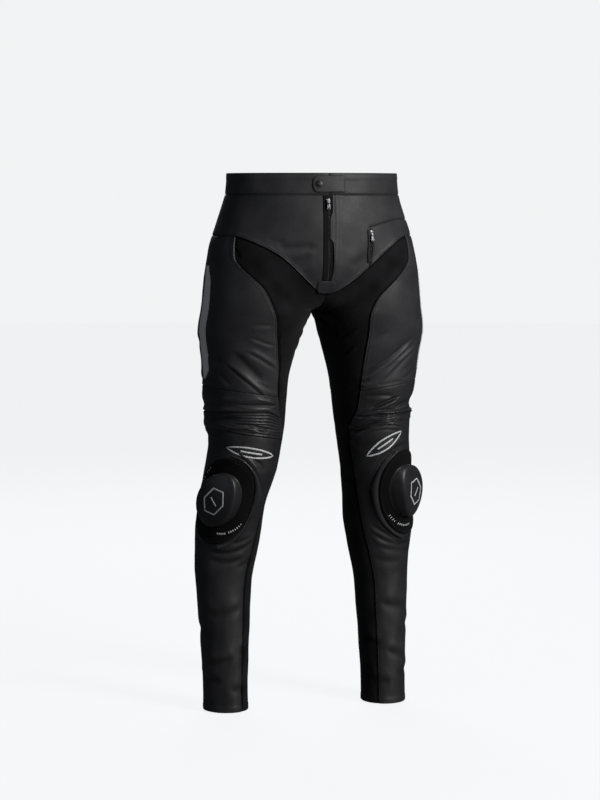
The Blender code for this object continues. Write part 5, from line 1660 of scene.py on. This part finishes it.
def waist_closure():
    """Tab over the centre front with a snap on its free end."""
    share = shares(ROLLED_ENDS, 0.16, 14)
    z = (TAB_HIGH + (TAB_LOW - TAB_HIGH) * share)[:, None]
    along = shares((0.0, 0.008, 0.02, 0.04), 0.07, 30)
    half = (TAB_HIGH - TAB_LOW) / 2
    off = np.abs(z - (TAB_HIGH + TAB_LOW) / 2) / half
    tip = TAB_RIGHT + 0.010 * (1 - np.sqrt(np.clip(1 - off**2.6, 0.0, 1.0)))
    x = tip + (TAB_LEFT - tip) * along[None, :]
    rounded = (cushion_edge(np.minimum(share, 1 - share), 0.07)[:, None]
               * cushion_edge(np.minimum(along, 1 - along), 0.035)[None, :])
    low = centre_front(x, z, LAY_CLEAR)
    high = centre_front(x, z, LAY_CLEAR + TAB_WALL * (0.25 + 0.75 * rounded))
    laid_sheet("waist_tab", low, high, LEATHER, "left_waistband_cloth")
    facing = sheet_normals(high, np.array([0.0, -1.0, 0.0]))
    stitching("waist_tab_thread", [
        line_beside(high, facing, edge_name, TAB_THREAD, 4, -4) for edge_name in ALL_EDGES],
        THREAD)

    under = LAY_CLEAR + TAB_WALL + SEAM_GAP
    radii = np.array([0.5, 1.0, 1.0, 0.97, 0.90, 0.84, 0.80, 0.76, 0.70, 0.55, 0.35, 0.15])[:, None]
    rise = np.array([0.0, 0.0, 0.30, 0.42, 0.48, 0.44, 0.46, 0.66, 0.82, 0.94, 0.99, 1.0])[:, None]
    turn = full_turn(48)[None, :]
    x, z = SNAP_X + SNAP_RADIUS * radii * np.cos(turn), SNAP_Z + SNAP_RADIUS * radii * np.sin(turn)
    rings = centre_front(x, z, under + SNAP_HEIGHT * rise + 0 * x)
    ends = [centre_front(np.array(SNAP_X), np.array(SNAP_Z), np.array(under + SNAP_HEIGHT * h))
            for h in (0.0, 1.0)]
    piece = closed_rings("waist_snap_piece", rings, ends[0], ends[1], [DARK_METAL])
    add(piece, "waist_snap")


def pocket():
    """Zip tape of the pocket, its teeth and the two leather lips beside them."""
    z = np.linspace(POCKET_TOP, POCKET_END, 60)[:, None]
    share = np.linspace(-1.0, 1.0, 9)[None, :]
    u = POCKET_U + share * POCKET_HALF / GIRTH
    low = skin(1, u, z, LAY_CLEAR * 0.4)
    high = skin(1, u, z, LAY_CLEAR + POCKET_WALL * (0.5 + 0.1 * (1 - share**2)))
    laid_sheet("pocket_zip_tape", low, high, TAPE, "left_front_panel_cloth")
    on_tape = LAY_CLEAR + POCKET_WALL * 0.6
    zip_teeth("pocket_zip_teeth", lambda k: skin(1, POCKET_U + 0 * k, k, on_tape),
              lambda k: outward(1, POCKET_U + 0 * k, k), POCKET_TOP - 0.002, POCKET_END + 0.003)
    for index, sign in enumerate((-1, 1)):
        z = np.linspace(POCKET_TOP + 0.001, POCKET_END + 0.001, 80)[:, None]
        turn = np.linspace(0.0, pi, 11)[None, :]
        close = 0.0030 - 0.0022 * eased((-0.126 - z) / 0.016)
        offset = sign * (close + 0.0016 + 0.0016 * -np.cos(turn) * sign)
        u = POCKET_U + offset / GIRTH
        low = skin(1, u, z, LAY_CLEAR * 0.5)
        high = skin(1, u, z, LAY_CLEAR + 0.0022 * np.sin(turn) ** 0.7)
        add(shell("pocket_lip_%d" % index, high, low, whole(low), [LEATHER, LEATHER],
                  values=np.full(high.shape[:2], 0.6)), None)
    lines = []
    for sign in (-1, 1):
        line_z = np.linspace(POCKET_TOP, POCKET_END + 0.002, 100)
        line_u = POCKET_U + sign * 0.0078 / GIRTH + 0 * line_z
        lines.append((skin(1, line_u, line_z, 0.0001), outward(1, line_u, line_z)))
    stitching("pocket_thread", lines, THREAD)


def local_axes(side, u, z):
    """Middle on the surface, direction across, direction up along the cloth, direction out."""
    u, z = np.array(float(u)), np.array(float(z))
    out = outward(side, u, z)
    across = unit(np.cross((0.0, 0.0, 1.0), out))
    return body(side, u, z), across, np.cross(out, across), out


def slab(name, outline, low, high, frame_at, finish, roll=0.0003):
    """A plate from a ring of (x, y) points, its two faces rolled over at the edge."""
    middle, across, up, out = frame_at
    outline = np.array(outline)
    centre = outline.mean(0)
    rings = []
    for inset, level in ((roll, low), (0.0, low + roll), (0.0, high - roll), (roll, high)):
        shrunk = centre + (outline - centre) * (1 - inset / np.abs(outline - centre).max())
        rings.append(middle + shrunk[:, :1] * across + shrunk[:, 1:] * up + out * level)
    ends = [middle + centre[0] * across + centre[1] * up + out * level for level in (low, high)]
    return closed_rings(name, np.array(rings), ends[0], ends[1], [finish])


def rounded_box(half_x, half_y, power=4.0, count=40, taper=0.0, shift=0.0):
    """Superellipse |x/a|^p + |y/b|^p = 1, narrowed toward the top by the taper."""
    turn = full_turn(count)
    x = half_x * np.sign(np.cos(turn)) * np.abs(np.cos(turn)) ** (2 / power)
    y = half_y * np.sign(np.sin(turn)) * np.abs(np.sin(turn)) ** (2 / power)
    return np.stack([x * (1 - taper * y / half_y), y + shift], -1)


def joined_pieces(name, parts):
    """Several closed bodies as one object."""
    first = parts[0]
    points, faces, count = [], {3: [], 4: []}, 0
    for part in parts:
        data = part.data
        co = np.zeros(len(data.vertices) * 3, np.float32)
        data.vertices.foreach_get("co", co)
        loops = np.zeros(len(data.loops), np.int32)
        data.loops.foreach_get("vertex_index", loops)
        totals = np.zeros(len(data.polygons), np.int32)
        data.polygons.foreach_get("loop_total", totals)
        starts = np.cumsum(totals) - totals
        for size in (3, 4):
            chosen = starts[totals == size]
            faces[size].append(loops[chosen[:, None] + np.arange(size)] + count)
        points.append(co.reshape(-1, 3))
        count += len(data.vertices)
    finish = first.data.materials[0]
    for part in parts:
        bpy.data.objects.remove(part)
    return mesh_piece(name, np.concatenate(points),
                      [np.concatenate(faces[4]), np.concatenate(faces[3])], [finish])


def zip_slider(node, side, u, z, under):
    """Slider body, pinched at its waist, with two ears standing up from it."""
    at = local_axes(side, u, z)
    floor = under + SEAM_GAP
    turn = full_turn(48)
    wide = SLIDER_HALF_WIDTH * (0.86 + 0.14 * np.cos(2 * turn + pi) ** 2)
    outline = np.stack([wide * np.sign(np.cos(turn)) * np.abs(np.cos(turn)) ** 0.5,
                        SLIDER_HALF_LENGTH * np.sign(np.sin(turn)) * np.abs(np.sin(turn)) ** 0.7], -1)
    parts = [slab(node + "_plate", outline, floor, floor + SLIDER_DEPTH, at, ZIP_METAL, 0.0005)]
    for sign in (-1, 1):
        ear = rounded_box(0.00042, 0.0015, 3.0, 20)
        ear[:, 0] += sign * 0.0026
        parts.append(slab(node + "_ear", ear, floor + SLIDER_DEPTH - 0.0003, floor + 0.0049,
                          at, ZIP_METAL, 0.00015))
    add(joined_pieces(node + "_piece", parts), node)


def zip_pull(node, side, u, z, under, body_name):
    """Tab that hangs from its hinge pin a little in front of the upright, its face sunk in a panel."""
    middle, across, _, out = local_axes(side, u, z)
    hinge = middle + out * (under + SEAM_GAP + HINGE_RISE)
    ahead = np.cross(across, (0.0, 0.0, 1.0))
    ahead = ahead if np.dot(ahead, out) > 0 else -ahead
    upright = np.array((0.0, 0.0, 1.0))
    down = ahead * sin(PULL_LEAN) - upright * cos(PULL_LEAN)
    face = ahead * cos(PULL_LEAN) + upright * sin(PULL_LEAN)
    at = (hinge, across, -down, face)
    neck = rounded_box(0.0016, 0.0034, 4.0, 32, shift=-0.0024)
    blade = rounded_box(0.0031, 0.0056, 4.5, 48, taper=0.16, shift=-0.0107)
    panel = rounded_box(0.0019, 0.0036, 4.0, 40, taper=0.14, shift=-0.0110)
    parts = [slab(node + "_neck", neck, -0.0006, 0.0006, at, ZIP_METAL, 0.00025),
             slab(node + "_blade", blade, -0.00062, 0.00062, at, ZIP_METAL, 0.00025),
             slab(node + "_panel", panel, 0.0004, 0.00078, at, ZIP_METAL, 0.00012)]
    turn = full_turn(16)
    pin = np.stack([0.00055 * np.cos(turn), 0.00055 * np.sin(turn)], -1)
    parts.append(slab(node + "_pin", pin, -0.0021, 0.0021,
                      (hinge, -down, face, across), ZIP_METAL, 0.0001))
    add(joined_pieces(node + "_piece", parts), node, body_name)


def zip_hardware():
    fly_u = float(u_at(-1, np.array(abs(FLY_SLIDER_X)), np.array(FLY_SLIDER_Z)))
    on_tape, on_pocket = LAY_CLEAR + TAPE_WALL, LAY_CLEAR + POCKET_WALL
    zip_slider("fly_zip_slider", -1, fly_u, FLY_SLIDER_Z, on_tape)
    zip_pull("fly_zip_pull", -1, fly_u, FLY_SLIDER_Z, on_tape, "fly_pull")
    zip_slider("pocket_zip_slider", 1, POCKET_U, POCKET_SLIDER_Z, on_pocket)
    zip_pull("pocket_zip_pull", 1, POCKET_U, POCKET_SLIDER_Z, on_pocket, "pocket_pull")


# Studio

FLOOR_Z = HEM - 0.002


def studio():
    """Pale floor and world, a large soft key from the viewer's right, a weak fill, the camera."""
    turn = full_turn(96)
    radii = np.array([0.5, 1.5, 4.0, 14.0])
    rings = np.stack([radii[:, None] * np.cos(turn), radii[:, None] * np.sin(turn),
                      np.full((4, 96), FLOOR_Z)], -1)
    points = np.concatenate([rings.reshape(-1, 3), [[0.0, 0.0, FLOOR_Z]]])
    k = np.arange(96)
    after = (k + 1) % 96
    quads = np.concatenate([np.stack([r * 96 + k, r * 96 + 96 + k, r * 96 + 96 + after, r * 96 + after], -1)
                            for r in range(3)])
    fan = np.stack([k, after, np.full(96, len(points) - 1)], -1)
    pale = Board("studio_floor", Roughness=0.9, Specular_IOR_Level=0.1)
    spread = pale.noise(pale.place(), 0.6)
    pale.finish(pale.mixed(spread, (0.115, 0.117, 0.12), (0.125, 0.127, 0.13)))
    glow = pale.node("ShaderNodeEmission", {}, {"Color": (0.862, 0.867, 0.874, 1.0), "Strength": 1.0})
    both = pale.node("ShaderNodeAddShader")
    pale.tree.links.new(glow.node.outputs[0], both.node.inputs[0])
    pale.tree.links.new(pale.shader.outputs[0], both.node.inputs[1])
    mix = pale.node("ShaderNodeMixShader", {}, {0: pale.node("ShaderNodeLightPath").wire("Is Camera Ray")})
    pale.tree.links.new(pale.shader.outputs[0], mix.node.inputs[1])
    pale.tree.links.new(both.node.outputs[0], mix.node.inputs[2])
    pale.tree.links.new(mix.node.outputs[0], pale.tree.nodes["Material Output"].inputs["Surface"])
    mesh_piece("studio_floor", points, [quads, fan], [pale.material])

    world = bpy.data.worlds.new("studio")
    bpy.context.scene.world = world
    world.use_nodes = True
    tree = world.node_tree
    tree.nodes.clear()
    seen, lit = (tree.nodes.new("ShaderNodeBackground") for _ in range(2))
    seen.inputs["Color"].default_value = (0.890, 0.895, 0.902, 1.0)
    lit.inputs["Color"].default_value = (0.80, 0.85, 0.92, 1.0)
    lit.inputs["Strength"].default_value = 0.055
    ray, mix, end = (tree.nodes.new("ShaderNode" + kind) for kind in ("LightPath", "MixShader", "OutputWorld"))
    tree.links.new(ray.outputs["Is Camera Ray"], mix.inputs[0])
    tree.links.new(lit.outputs[0], mix.inputs[1])
    tree.links.new(seen.outputs[0], mix.inputs[2])
    tree.links.new(mix.outputs[0], end.inputs["Surface"])

    for row in LAMP_TABLE:
        lamp(*row)

    camera = bpy.data.objects.new("camera", bpy.data.cameras.new("camera"))
    camera.data.sensor_fit = "VERTICAL"
    camera.data.sensor_height = 36.0
    camera.data.lens = 36.0 * FOCAL / FRAME_HEIGHT
    camera.location = CAMERA_PLACE
    camera.rotation_euler = (radians(90.0 - CAMERA_DOWN), 0.0, radians(CAMERA_ASIDE))
    bpy.context.scene.collection.objects.link(camera)
    bpy.context.scene.camera = camera
    bpy.context.scene.view_settings.view_transform = "Standard"


def lamp(name, azimuth, elevation, distance, size, power, colour):
    """Area light aimed at the thighs; azimuth 0 is in front, positive toward the wearer's left."""
    light = bpy.data.lights.new(name, "AREA")
    light.shape = "RECTANGLE"
    light.size, light.size_y = size
    light.energy, light.color = power, colour
    holder = bpy.data.objects.new(name, light)
    a, e = radians(azimuth), radians(elevation)
    away = np.array([sin(a) * cos(e), -cos(a) * cos(e), sin(e)])
    holder.location = LAMP_AIM + away * distance
    holder.rotation_euler = (pi / 2 - e, 0.0, a)
    bpy.context.scene.collection.objects.link(holder)


studio()
for half in (1, -1):
    waistband(half)
    upper_panels(half)
    knee_accordion(half)
    shin_panel(half)
    calf_panel(half)
    side_stripe(half)
    slider_base(half)
    slider_trim(half)
    knee_slider(half)
    knee_mark(half)
    slider_mark(half)
    base_ticks(half)
fly()
waist_closure()
pocket()
zip_hardware()
